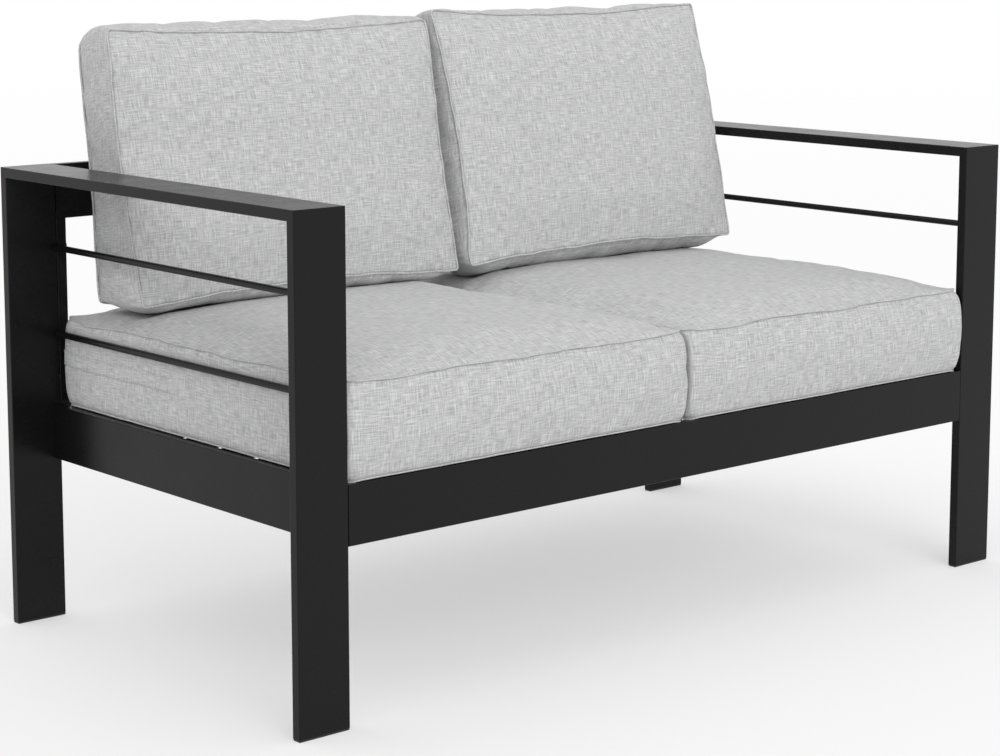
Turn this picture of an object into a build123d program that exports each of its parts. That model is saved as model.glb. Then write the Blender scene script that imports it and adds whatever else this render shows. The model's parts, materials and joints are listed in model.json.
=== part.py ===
from build123d import *
import math
import os

# A two-seat patio loveseat: a black aluminium frame of flat tube with four loose box cushions.
# Millimetres. +X is to the right as seen from the front, +Y to the rear and +Z up.
# Left and right are as seen from the front.
# The origin is on the ground, below the middle of the frame.

# Overall size of the frame
overall_width = 1290.0
overall_depth = 668.0
frame_height = 632.0

# Flat tube of the legs, armrests, aprons and top rail
tube_width = 75.0
tube_thickness = 14.0
tube_wall = 1.6
tube_edge_radius = 1.2
mitre_overrun = 5.0

# Seat height and where the side aprons stand
apron_top = 300.0
side_apron_inset = 63.5

# Two round rods under each armrest
rod_diameter = 9.0
rod_spacing_share = 0.375

# Posts and uprights of the back
post_width = 15.0
upright_width = 25.0
upright_spread_share = 0.5

# Seat deck: two side rails, a centre beam and the slats that lie on them
side_rail_width = 20.0
side_rail_height = 40.0
beam_width = 30.0
beam_height = 50.0
slat_width = 30.0
slat_thickness = 12.0
slat_end_gap = 0.5
slat_count = 7
small_tube_wall = 1.5
small_tube_edge_radius = 1.0

# Plastic plugs in the open ends of the legs
foot_flange = 3.0
foot_flange_inset = 0.3
foot_edge_bevel = 1.0
foot_insert_height = 22.0
foot_insert_wall = 2.0
foot_clearance = 0.2
foot_rib_count = 3
foot_rib_thickness = 1.5

# M6 bolts, washers and rivet nuts, and the caps of the access holes in the posts
bolt_diameter = 6.0
bolt_head_diameter = 10.4
bolt_head_height = 3.3
bolt_head_edge = 0.9
bolt_reach = 9.0
hex_key_size = 4.0
hex_key_depth = 2.0
bolt_hole_clearance = 0.3
washer_diameter = 10.4
washer_thickness = 1.2
nut_flange_diameter = 12.0
nut_flange_thickness = 0.8
nut_body_diameter = 9.0
nut_body_length = 11.0
nut_collar_diameter = 10.4
nut_collar_length = 2.0
nut_hole_clearance = 0.1
nut_bore_clearance = 0.1
seat_bolt_setback = 70.0
back_bolt_end_distance = 38.0
cap_flange_diameter = 13.4
cap_flange_height = 1.0
cap_flange_edge = 0.5
cap_stem_diameter = 11.0
cap_stem_length = 3.0
cap_stem_wall = 1.2
cap_hole_clearance = 0.1

# Seat cushions
seat_side_gap = 1.5
seat_middle_gap = 3.0
seat_front_setback = 3.0
seat_rear_gap = 9.0
seat_boxing = 112.0
seat_crown = 16.0
seat_underside = 6.0
seat_corner_radius = 18.0
cushion_rest_gap = 0.3

# Back cushions
back_cushion_width = 550.0
back_middle_gap = 6.0
back_cushion_height = 378.0
back_boxing = 88.0
back_front_crown = 24.0
back_rear_crown = 60.0
back_corner_radius = 18.0
back_lean = 12.4
back_rail_gap = 0.3
back_landing_share = 0.65

# What all cushions share
cushion_draw_in = 5.0
cover_thickness = 10.0
foam_gap = 0.3
crown_inset_shares = (0.0, 0.05, 0.16, 0.34)
crown_height_shares = (0.0, 0.42, 0.82, 1.0)
crown_corner_shares = (0.0, 0.1, 0.3, 0.6)
crown_shares = tuple(zip(crown_inset_shares, crown_corner_shares, crown_height_shares))
flat_shares = ((0.0, 0.0, 0.0), (0.03, 0.02, 1.0))

# Zips in the cushions' boxing
zip_groove_depth = 7.0
zip_groove_width = 24.0
zip_tape_width = 20.0
zip_tape_thickness = 0.8
zip_chain_width = 5.0
zip_chain_height = 2.2
zip_gap = 0.3
zip_end_gap = 1.0
zip_overrun = 4.0
zip_side_run = 270.0
back_zip_run = 440.0
slider_length = 11.0
slider_width = 8.6
slider_plate = 1.2
slider_chain_gap = 0.3
pull_length = 20.0
pull_width = 5.0
pull_thickness = 0.9
pull_hole_diameter = 2.4
slider_end_gap = 4.0

# Places that follow from the sizes above
front_y = -overall_depth / 2
rear_y = overall_depth / 2
outer_x = overall_width / 2
inner_front_y = front_y + tube_thickness
inner_rear_y = rear_y - tube_thickness
leg_centre_x = outer_x - tube_width / 2
leg_inner_x = outer_x - tube_width
arm_underside = frame_height - tube_thickness
rail_bottom = frame_height - tube_width
side_apron_outer_x = outer_x - side_apron_inset
side_apron_inner_x = side_apron_outer_x - tube_thickness
side_apron_x = (side_apron_outer_x + side_apron_inner_x) / 2
inner_depth = inner_rear_y - inner_front_y
span_half = leg_inner_x - nut_flange_thickness
side_rail_outer_x = side_apron_inner_x - nut_flange_thickness
side_rail_inner_x = side_rail_outer_x - side_rail_width
deck_underside = apron_top - slat_thickness
side_rail_z = deck_underside - side_rail_height / 2
seat_width = leg_inner_x - seat_side_gap - seat_middle_gap / 2
seat_length = inner_rear_y - seat_rear_gap - (front_y + seat_front_setback)
seat_x = seat_middle_gap / 2 + seat_width / 2
seat_y = (inner_rear_y - seat_rear_gap + front_y + seat_front_setback) / 2
seat_base = apron_top + cushion_rest_gap
seat_lower_seam = seat_base + seat_underside
seat_top = seat_lower_seam + seat_boxing + seat_crown
back_landing = seat_top - seat_crown * (1 - back_landing_share)
back_x = back_middle_gap / 2 + back_cushion_width / 2
lean_sin = math.sin(math.radians(back_lean))
lean_cos = math.cos(math.radians(back_lean))
back_z = (
    back_landing + cushion_rest_gap + back_cushion_height / 2 * lean_cos + back_boxing / 2 * lean_sin
)
rail_reach = back_boxing / 2 + back_rear_crown + back_rail_gap
back_y = inner_rear_y - (rail_reach + (frame_height - back_z) * lean_sin) / lean_cos
zip_bed = zip_groove_depth - zip_gap


def flat_tube(width, thickness, length, wall, edge_radius):
    """A hollow tube along Z from the origin, its wide side along X, with rounded outer edges."""
    outside = RectangleRounded(width, thickness, edge_radius)
    inside = Rectangle(width - 2 * wall, thickness - 2 * wall)
    return extrude(outside - inside, length)


def frame_tube(length):
    """The flat tube that the legs, armrests, aprons and top rail are cut from."""
    return flat_tube(tube_width, tube_thickness, length, tube_wall, tube_edge_radius)


def drill(place, direction, diameter, length):
    """A round cutter that starts at a place and runs along a direction."""
    plane = Plane(origin=place, z_dir=direction)
    return plane * Cylinder(diameter / 2, length, align=(Align.CENTER, Align.CENTER, Align.MIN))


def mitre_wedge(outer_side):
    """The corner that is cut off a tube at the front upper corner of an arm."""
    outer = (front_y - mitre_overrun, frame_height + mitre_overrun)
    inner = (inner_front_y + mitre_overrun, arm_underside - mitre_overrun)
    if outer_side:
        third = (outer[0], inner[1])
    else:
        third = (inner[0], outer[1])
    triangle = Plane.YZ * make_face(Polyline(outer, inner, third, close=True))
    return extrude(triangle, overall_width / 2, both=True)


def front_leg():
    """A left front leg: flat tube, open at the foot and mitred into the armrest."""
    height = frame_height - foot_flange
    tube = Pos(-leg_centre_x, front_y + tube_thickness / 2, foot_flange) * frame_tube(height)
    return tube - mitre_wedge(outer_side=False)


def rear_leg():
    """A left rear leg, with the two holes for the rivet nuts that hold the back."""
    leg = mirror(front_leg(), about=Plane.XZ)
    for height in back_bolt_heights():
        mouth = (-leg_inner_x + tube_wall, rear_y - tube_thickness / 2, height)
        hole = nut_body_diameter + 2 * nut_hole_clearance
        leg -= drill(mouth, (-1, 0, 0), hole, 3 * tube_wall)
    return leg


def armrest():
    """A left armrest: flat tube laid flat, mitred at both ends."""
    tube = Pos(-leg_centre_x, rear_y, frame_height - tube_thickness / 2) * Rot(90, 0, 0) * (
        frame_tube(overall_depth)
    )
    front_cut = mitre_wedge(outer_side=True)
    return tube - front_cut - mirror(front_cut, about=Plane.XZ)


def side_apron():
    """A left side apron between the legs, with rivet nut holes in its inner wall."""
    apron = Pos(-side_apron_x, inner_rear_y, apron_top - tube_width / 2) * Rot(90, 0, 0) * (
        Rot(0, 0, 90) * frame_tube(inner_depth)
    )
    for place_y in seat_bolt_places():
        mouth = (-side_apron_inner_x + tube_wall, place_y, side_rail_z)
        hole = nut_body_diameter + 2 * nut_hole_clearance
        apron -= drill(mouth, (-1, 0, 0), hole, 3 * tube_wall)
    return apron


def arm_rod(height):
    """A left round rod that runs from the front leg to the rear leg."""
    place = (-side_apron_x, inner_front_y, height)
    return drill(place, (0, 1, 0), rod_diameter, inner_depth)


def cross_tube(place_y, top):
    """A flat tube on edge that spans the frame from arm to arm."""
    place = Pos(-span_half, place_y, top - tube_width / 2)
    return place * Rot(0, 90, 0) * frame_tube(2 * span_half)


def front_apron():
    """The front apron, flush with the front legs."""
    return cross_tube(front_y + tube_thickness / 2, apron_top)


def rear_apron():
    """The rear apron, flush with the rear legs."""
    return cross_tube(rear_y - tube_thickness / 2, apron_top)


def top_rail():
    """The top rail of the back, level with the armrests."""
    return cross_tube(rear_y - tube_thickness / 2, frame_height)


def standing_bar(width, centre_x):
    """A bar of the back that stands on the rear apron and carries the top rail."""
    height = rail_bottom - apron_top
    tube = flat_tube(width, tube_thickness, height, small_tube_wall, small_tube_edge_radius)
    return Pos(centre_x, rear_y - tube_thickness / 2, apron_top) * tube


def back_bolt_heights():
    """Heights of the bolts that hold a post of the back to its rear leg."""
    return (apron_top + back_bolt_end_distance, rail_bottom - back_bolt_end_distance)


def back_post():
    """The left end post of the back, with access holes for the bolts inside it."""
    centre_x = -span_half + post_width / 2
    post = standing_bar(post_width, centre_x)
    for height in back_bolt_heights():
        outer_wall = (-span_half - small_tube_wall, rear_y - tube_thickness / 2, height)
        inner_wall = (centre_x, rear_y - tube_thickness / 2, height)
        post -= drill(outer_wall, (1, 0, 0), bolt_diameter + 2 * bolt_hole_clearance, 3 * small_tube_wall)
        post -= drill(inner_wall, (1, 0, 0), cap_stem_diameter + 2 * cap_hole_clearance, post_width)
    return post


def back_upright(position_share):
    """An upright of the back, at a share of the way from the middle to the post."""
    return standing_bar(upright_width, span_half * position_share)


def seat_bolt_places():
    """Places along Y of the bolts that hold the seat to the side aprons."""
    return (inner_front_y + seat_bolt_setback, inner_rear_y - seat_bolt_setback)


def seat_side_rail():
    """The left side rail of the seat deck, with the bolt holes through both walls."""
    centre_x = -(side_rail_outer_x + side_rail_inner_x) / 2
    tube = flat_tube(
        side_rail_width, side_rail_height, inner_depth, small_tube_wall, small_tube_edge_radius
    )
    rail = Pos(centre_x, inner_rear_y, side_rail_z) * Rot(90, 0, 0) * tube
    for place_y in seat_bolt_places():
        start = (-side_rail_outer_x - small_tube_wall, place_y, side_rail_z)
        hole = bolt_diameter + 2 * bolt_hole_clearance
        rail -= drill(start, (1, 0, 0), hole, side_rail_width + 2 * small_tube_wall)
    return rail


def seat_centre_beam():
    """The beam from front to rear that carries the middle of the slats."""
    tube = flat_tube(beam_width, beam_height, inner_depth, small_tube_wall, small_tube_edge_radius)
    return Pos(0, inner_rear_y, deck_underside - beam_height / 2) * Rot(90, 0, 0) * tube


def seat_slats():
    """The slats from arm to arm, evenly spaced, flush with the top of the aprons."""
    length = 2 * (side_apron_inner_x - slat_end_gap)
    slat = flat_tube(slat_thickness, slat_width, length, small_tube_wall, small_tube_edge_radius)
    slat = Pos(-length / 2, 0, apron_top - slat_thickness / 2) * Rot(0, 90, 0) * slat
    pitch = inner_depth / (slat_count + 1)
    places = [inner_front_y + pitch * (index + 1) for index in range(slat_count)]
    return Compound(children=[Pos(0, place_y, 0) * slat for place_y in places])


def foot_plug():
    """The plug of the left front leg: a flange to stand on and a ribbed insert in the tube."""
    flange_width = tube_width - 2 * foot_flange_inset
    flange_depth = tube_thickness - 2 * foot_flange_inset
    flange = extrude(RectangleRounded(flange_width, flange_depth, tube_edge_radius), foot_flange)
    flange = chamfer(flange.faces().sort_by(Axis.Z)[0].edges(), foot_edge_bevel)
    insert_width = tube_width - 2 * tube_wall - 2 * foot_clearance
    insert_depth = tube_thickness - 2 * tube_wall - 2 * foot_clearance
    pocket_width = insert_width - 2 * foot_insert_wall
    pocket_depth = insert_depth - 2 * foot_insert_wall
    insert = Rectangle(insert_width, insert_depth) - Rectangle(pocket_width, pocket_depth)
    rib_pitch = pocket_width / (foot_rib_count + 1)
    for index in range(foot_rib_count):
        rib_x = -pocket_width / 2 + rib_pitch * (index + 1)
        insert += Pos(rib_x, 0) * Rectangle(foot_rib_thickness, insert_depth)
    plug = flange + Pos(0, 0, foot_flange) * extrude(insert, foot_insert_height)
    return Pos(-leg_centre_x, front_y + tube_thickness / 2, 0) * plug


def bolt(place, direction, shank_length):
    """A button-head bolt whose head seats at a place, with its shank along a direction."""
    radius = bolt_head_diameter / 2
    profile = Polyline(
        (0, -bolt_head_height),
        (radius - bolt_head_edge, -bolt_head_height),
        (radius, -bolt_head_height + bolt_head_edge),
        (radius, 0),
        (bolt_diameter / 2, 0),
        (bolt_diameter / 2, shank_length),
        (0, shank_length),
        close=True,
    )
    body = revolve(Plane.XZ * make_face(profile), Axis.Z)
    socket = Pos(0, 0, -bolt_head_height) * extrude(
        RegularPolygon(hex_key_size / 2, 6, major_radius=False), hex_key_depth
    )
    return Plane(origin=place, z_dir=direction) * (body - socket)


def washer(place, direction):
    """A plain washer that lies on a face at a place, with its hole along a direction."""
    ring = Circle(washer_diameter / 2) - Circle(bolt_diameter / 2 + bolt_hole_clearance)
    return Plane(origin=place, z_dir=direction) * extrude(ring, washer_thickness)


def rivet_nut(place, direction, wall):
    """A rivet nut set in a wall: flange outside at the place, body and upset collar behind it."""
    bore = bolt_diameter / 2 + nut_bore_clearance
    collar_end = wall + nut_collar_length
    profile = Polyline(
        (bore, -nut_flange_thickness),
        (nut_flange_diameter / 2, -nut_flange_thickness),
        (nut_flange_diameter / 2, 0),
        (nut_body_diameter / 2, 0),
        (nut_body_diameter / 2, wall),
        (nut_collar_diameter / 2, wall),
        (nut_collar_diameter / 2, collar_end),
        (nut_body_diameter / 2, collar_end),
        (nut_body_diameter / 2, nut_body_length),
        (bore, nut_body_length),
        close=True,
    )
    return Plane(origin=place, z_dir=direction) * revolve(Plane.XZ * make_face(profile), Axis.Z)


def hole_cap(place, direction):
    """A plastic cap that plugs an access hole in a post."""
    stem = cap_stem_diameter / 2
    flange = cap_flange_diameter / 2
    profile = Polyline(
        (0, 0),
        (flange, 0),
        (flange, cap_flange_height - cap_flange_edge),
        (flange - cap_flange_edge, cap_flange_height),
        (0, cap_flange_height),
        close=True,
    )
    head = revolve(Plane.XZ * make_face(profile), Axis.Z)
    ring = Circle(stem) - Circle(stem - cap_stem_wall)
    skirt = Pos(0, 0, -cap_stem_length) * extrude(ring, cap_stem_length)
    return Plane(origin=place, z_dir=direction) * (head + skirt)


def seat_fasteners():
    """The left bolts, washers and rivet nuts between seat side rail and side apron."""
    bolts, washers, nuts = [], [], []
    shank = washer_thickness + side_rail_width + nut_flange_thickness + bolt_reach
    for place_y in seat_bolt_places():
        head_seat = (-side_rail_inner_x + washer_thickness, place_y, side_rail_z)
        bolts.append(bolt(head_seat, (-1, 0, 0), shank))
        washers.append(washer(head_seat, (-1, 0, 0)))
        wall_face = (-side_apron_inner_x, place_y, side_rail_z)
        nuts.append(rivet_nut(wall_face, (-1, 0, 0), tube_wall))
    return bolts, washers, nuts


def back_fasteners():
    """The left bolts, washers, rivet nuts and caps between a post and its rear leg."""
    bolts, washers, nuts, caps = [], [], [], []
    shank = washer_thickness + small_tube_wall + nut_flange_thickness + bolt_reach
    centre_y = rear_y - tube_thickness / 2
    for height in back_bolt_heights():
        head_seat = (-span_half + small_tube_wall + washer_thickness, centre_y, height)
        bolts.append(bolt(head_seat, (-1, 0, 0), shank))
        washers.append(washer(head_seat, (-1, 0, 0)))
        nuts.append(rivet_nut((-leg_inner_x, centre_y, height), (-1, 0, 0), tube_wall))
        caps.append(hole_cap((-span_half + post_width, centre_y, height), (1, 0, 0)))
    return bolts, washers, nuts, caps


def pillow_outline(width, length, radius, draw_in, height):
    """A closed outline with round corners whose sides are drawn in between the corners."""
    half_w = width / 2
    half_l = length / 2
    corner = radius * (1 - math.sqrt(0.5))
    middles = ((0, draw_in - half_l), (half_w - draw_in, 0), (0, half_l - draw_in), (draw_in - half_w, 0))
    ends = (
        ((radius - half_w, -half_l), (half_w - radius, -half_l)),
        ((half_w, radius - half_l), (half_w, half_l - radius)),
        ((half_w - radius, half_l), (radius - half_w, half_l)),
        ((-half_w, half_l - radius), (-half_w, radius - half_l)),
    )
    corners = (
        (half_w - corner, corner - half_l),
        (half_w - corner, half_l - corner),
        (corner - half_w, half_l - corner),
        (corner - half_w, corner - half_l),
    )
    edges = []
    for index, (start, end) in enumerate(ends):
        following = ends[(index + 1) % len(ends)][0]
        if draw_in == 0:
            edges.append(Line(start, end))
        else:
            edges.append(ThreePointArc(start, middles[index], end))
        edges.append(ThreePointArc(end, corners[index], following))
    return Pos(0, 0, height) * Face(Wire(edges))


def panel_sections(width, length, radius, seam_height, rise, shares):
    """Outlines that step inwards and outwards from a seam to the flat middle of a panel."""
    sections = []
    for inset_share, corner_share, height_share in shares:
        inset = inset_share * min(width, length)
        half_left = min(width, length) / 2 - inset
        corner = radius + (half_left - radius) * corner_share
        height = seam_height + rise * height_share
        sections.append(
            pillow_outline(width - 2 * inset, length - 2 * inset, corner, cushion_draw_in, height)
        )
    return sections


def pillow(plan, heights, under_shares, shrink):
    """A box cushion about its middle: boxing between two seams, and a panel on both sides.

    plan is width, length and corner radius; heights are boxing, upper crown and lower crown.
    under_shares shape the lower panel: a crown like the upper one, or flat to rest on slats.
    shrink is how much smaller the form is all round, for the inside of the cover and the foam.
    """
    width, length, radius = plan
    boxing, upper_crown, lower_crown = heights
    corner = radius - shrink
    full_height = boxing + upper_crown + lower_crown
    height_ratio = 1 - 2 * shrink / full_height
    middle = (upper_crown - lower_crown) / 2
    half_boxing = boxing / 2 * height_ratio
    upper_seam = half_boxing - middle * height_ratio + middle
    lower_seam = -half_boxing - middle * height_ratio + middle
    plan_width = width - 2 * shrink
    plan_length = length - 2 * shrink
    side = [
        pillow_outline(plan_width, plan_length, corner, cushion_draw_in, lower_seam),
        pillow_outline(plan_width, plan_length, corner, 0, (lower_seam + upper_seam) / 2),
        pillow_outline(plan_width, plan_length, corner, cushion_draw_in, upper_seam),
    ]
    rise = upper_crown * height_ratio
    drop = -lower_crown * height_ratio
    upper = panel_sections(plan_width, plan_length, corner, upper_seam, rise, crown_shares)
    lower = panel_sections(plan_width, plan_length, corner, lower_seam, drop, under_shares)
    return loft(side) + loft(upper) + loft(lower[::-1])


def boxing_band(plan, inner, outer, band_width):
    """A ring that follows the middle of a cushion's boxing, between two depths below its surface."""
    width, length, radius = plan
    outside = pillow_outline(width - 2 * outer, length - 2 * outer, radius - outer, 0, -band_width / 2)
    inside = pillow_outline(width - 2 * inner, length - 2 * inner, radius - inner, 0, -band_width / 2)
    return extrude(outside - inside, band_width, dir=(0, 0, 1))


def seat_zip_reach(end_gap):
    """The part of a seat cushion's boxing that its zip takes: the rear and some of both sides."""
    width = seat_width + 2 * zip_overrun
    length = zip_side_run - end_gap + zip_overrun
    place_y = seat_length / 2 + zip_overrun - length / 2
    return Pos(0, place_y, 0) * Box(width, length, zip_groove_width)


def back_zip_reach(end_gap):
    """The part of a back cushion's boxing that its zip takes: most of the lower side."""
    depth = back_corner_radius
    place_y = -back_cushion_height / 2 - zip_overrun + depth / 2
    return Pos(0, place_y, 0) * Box(back_zip_run - 2 * end_gap, depth, zip_groove_width)


def zip_strip(plan, reach):
    """A closed zip in its groove: the tape with the raised chain of teeth along its middle."""
    tape = boxing_band(plan, zip_bed, zip_bed - zip_tape_thickness, zip_tape_width)
    chain = boxing_band(plan, zip_bed, zip_bed - zip_chain_height, zip_chain_width)
    return (tape + chain) & reach


def zip_slider():
    """A slider over the chain and its pull, on a zip that runs along X with +Z outwards."""
    inner_half = zip_chain_width / 2 + slider_chain_gap
    plate_under = zip_chain_height + slider_chain_gap
    plate_top = plate_under + slider_plate
    lip = zip_tape_thickness + slider_chain_gap
    section = Polyline(
        (-slider_width / 2, lip),
        (-inner_half, lip),
        (-inner_half, plate_under),
        (inner_half, plate_under),
        (inner_half, lip),
        (slider_width / 2, lip),
        (slider_width / 2, plate_top),
        (-slider_width / 2, plate_top),
        close=True,
    )
    body = extrude(Plane.YZ * make_face(section), slider_length / 2, both=True)
    post_offset = slider_width / 4
    bar_under = plate_top + pull_thickness + 2 * slider_chain_gap
    bar_top = bar_under + slider_plate
    bar_length = 2 * post_offset + slider_plate
    standing = (Align.CENTER, Align.CENTER, Align.MIN)
    post = Box(slider_plate, slider_plate, bar_top - plate_top, align=standing)
    bar = Box(bar_length, slider_plate, slider_plate, align=standing)
    bridge = Pos(0, 0, bar_under) * bar
    for side in (-1, 1):
        bridge += Pos(side * post_offset, 0, plate_top) * post
    tab = Rectangle(pull_length, pull_width, align=(Align.MIN, Align.CENTER)) + Circle(pull_width / 2)
    tab -= Circle(pull_hole_diameter / 2)
    pull = Pos(post_offset, 0, plate_top + slider_chain_gap) * extrude(tab, pull_thickness)
    return Compound(children=[body + bridge, pull])


def seat_cushion_pieces():
    """Cover, foam, zip and slider of a seat cushion, about the middle of its boxing."""
    plan = (seat_width, seat_length, seat_corner_radius)
    heights = (seat_boxing, seat_crown, seat_underside)
    slider_y = seat_length / 2 - zip_side_run + zip_end_gap + slider_end_gap + slider_length / 2
    place = Plane(
        origin=(seat_width / 2 - zip_bed, slider_y, 0),
        x_dir=(0, 1, 0),
        z_dir=(1, 0, 0),
    )
    return cushion_pieces(plan, heights, flat_shares, seat_zip_reach, place)


def back_cushion_pieces():
    """Cover, foam, zip and slider of a back cushion, about the middle of its boxing."""
    plan = (back_cushion_width, back_cushion_height, back_corner_radius)
    heights = (back_boxing, back_front_crown, back_rear_crown)
    slider_x = back_zip_run / 2 - zip_end_gap - slider_end_gap - slider_length / 2
    place = Plane(
        origin=(slider_x, zip_bed - back_cushion_height / 2, 0),
        x_dir=(-1, 0, 0),
        z_dir=(0, -1, 0),
    )
    return cushion_pieces(plan, heights, crown_shares, back_zip_reach, place)


def cushion_pieces(plan, heights, under_shares, reach, slider_place):
    """The pieces of a cushion: cover with its zip groove, foam, zip and slider."""
    groove = boxing_band(plan, zip_groove_depth, -zip_overrun, zip_groove_width) & reach(0)
    hollow = pillow(plan, heights, under_shares, cover_thickness)
    cover = pillow(plan, heights, under_shares, 0) - hollow - groove
    return {
        "cover": cover,
        "foam": pillow(plan, heights, under_shares, cover_thickness + foam_gap),
        "zip": zip_strip(plan, reach(zip_end_gap)),
        "zip_slider": slider_place * zip_slider(),
    }


def seat_places():
    """Where the middle of each seat cushion's boxing is."""
    height = seat_lower_seam + seat_boxing / 2
    return {"left": Pos(-seat_x, seat_y, height), "right": Pos(seat_x, seat_y, height)}


def back_places():
    """Where the middle of each back cushion's boxing is, leaning on the top rail."""
    places = {}
    for side, place_x in (("left", -back_x), ("right", back_x)):
        places[side] = Plane(
            origin=(place_x, back_y, back_z), x_dir=(1, 0, 0), z_dir=(0, -lean_cos, lean_sin)
        ).location
    return places


def frame_nodes():
    """Every node of the frame, by name."""
    rod_middle = (apron_top + arm_underside) / 2
    rod_spacing = (arm_underside - apron_top) * rod_spacing_share
    left = {
        "front_leg": front_leg(),
        "rear_leg": rear_leg(),
        "armrest": armrest(),
        "side_apron": side_apron(),
        "upper_rod": arm_rod(rod_middle + rod_spacing / 2),
        "lower_rod": arm_rod(rod_middle - rod_spacing / 2),
        "back_post": back_post(),
        "back_upright": back_upright(-upright_spread_share),
        "seat_side_rail": seat_side_rail(),
        "front_foot_plug": foot_plug(),
        "rear_foot_plug": mirror(foot_plug(), about=Plane.XZ),
    }
    nodes = {}
    for name, piece in left.items():
        nodes["left_" + name] = piece
        nodes["right_" + name] = mirror(piece, about=Plane.YZ)
    nodes["front_apron"] = front_apron()
    nodes["rear_apron"] = rear_apron()
    nodes["top_rail"] = top_rail()
    nodes["centre_back_upright"] = back_upright(0)
    nodes["seat_centre_beam"] = seat_centre_beam()
    nodes["seat_slats"] = seat_slats()
    return nodes


def fastener_nodes():
    """The fasteners of both sides, each kind in one node."""
    seat_bolts, seat_washers, seat_nuts = seat_fasteners()
    back_bolts, back_washers, back_nuts, caps = back_fasteners()
    groups = {
        "seat_bolts": seat_bolts,
        "seat_washers": seat_washers,
        "seat_rivet_nuts": seat_nuts,
        "back_bolts": back_bolts,
        "back_washers": back_washers,
        "back_rivet_nuts": back_nuts,
        "bolt_hole_caps": caps,
    }
    nodes = {}
    for name, pieces in groups.items():
        others = [mirror(piece, about=Plane.YZ) for piece in pieces]
        nodes[name] = Compound(children=pieces + others)
    return nodes


def cushion_nodes():
    """Cover, foam, zip and slider of all four cushions."""
    nodes = {}
    cushions = (
        ("seat", seat_cushion_pieces(), seat_places()),
        ("back", back_cushion_pieces(), back_places()),
    )
    for kind, pieces, places in cushions:
        for side, place in places.items():
            for name, piece in pieces.items():
                nodes[f"{side}_{kind}_cushion_{name}"] = place * piece
    return nodes


os.makedirs("parts", exist_ok=True)
for node, solid in {**frame_nodes(), **fastener_nodes(), **cushion_nodes()}.items():
    export_step(solid, f"parts/{node}.step")
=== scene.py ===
"""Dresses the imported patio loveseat: woven cushions with seams and zips, coated frame, light and camera."""
import json
import logging
import math
from dataclasses import dataclass, field
from enum import Enum

import bpy
import numpy as np
from mathutils import Matrix, Vector


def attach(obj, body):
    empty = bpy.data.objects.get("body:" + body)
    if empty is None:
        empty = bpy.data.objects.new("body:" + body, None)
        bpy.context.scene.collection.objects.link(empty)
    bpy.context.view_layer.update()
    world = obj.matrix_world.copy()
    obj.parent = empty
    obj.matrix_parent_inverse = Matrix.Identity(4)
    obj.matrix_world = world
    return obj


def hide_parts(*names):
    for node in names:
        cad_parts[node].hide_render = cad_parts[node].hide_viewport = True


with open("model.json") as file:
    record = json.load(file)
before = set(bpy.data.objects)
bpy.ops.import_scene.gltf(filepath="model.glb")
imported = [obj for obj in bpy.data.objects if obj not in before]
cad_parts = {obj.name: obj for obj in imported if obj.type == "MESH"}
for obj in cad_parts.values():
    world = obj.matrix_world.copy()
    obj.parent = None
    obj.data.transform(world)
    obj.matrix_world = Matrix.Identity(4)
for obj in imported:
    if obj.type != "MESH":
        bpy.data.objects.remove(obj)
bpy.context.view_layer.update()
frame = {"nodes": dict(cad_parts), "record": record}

log = logging.getLogger("loveseat")

MM = 0.001

Colour = tuple[float, float, float]
Socket = bpy.types.NodeSocket
Finishes = dict[str, bpy.types.Material]


class Side(Enum):
    """Left and right as seen from the front, with the sign of X."""

    LEFT = -1
    RIGHT = 1

    @property
    def label(self) -> str:
        """The word that the side's pieces start with."""
        return self.name.lower()


class CushionKind(Enum):
    """The two kinds of cushion."""

    SEAT = "seat"
    BACK = "back"


class BoxSide(Enum):
    """The sides of a cushion's boxing, counter-clockwise as its outline runs."""

    NEAR = 0
    RIGHT = 1
    FAR = 2
    LEFT = 3

    @property
    def run_axis(self) -> int:
        """The axis along which the side runs: 0 for across, 1 for near to far."""
        return self.value % 2

    @property
    def outward(self) -> int:
        """The sign of the direction that the side faces."""
        return 1 if self in (BoxSide.RIGHT, BoxSide.FAR) else -1


# Shader helpers


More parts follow.
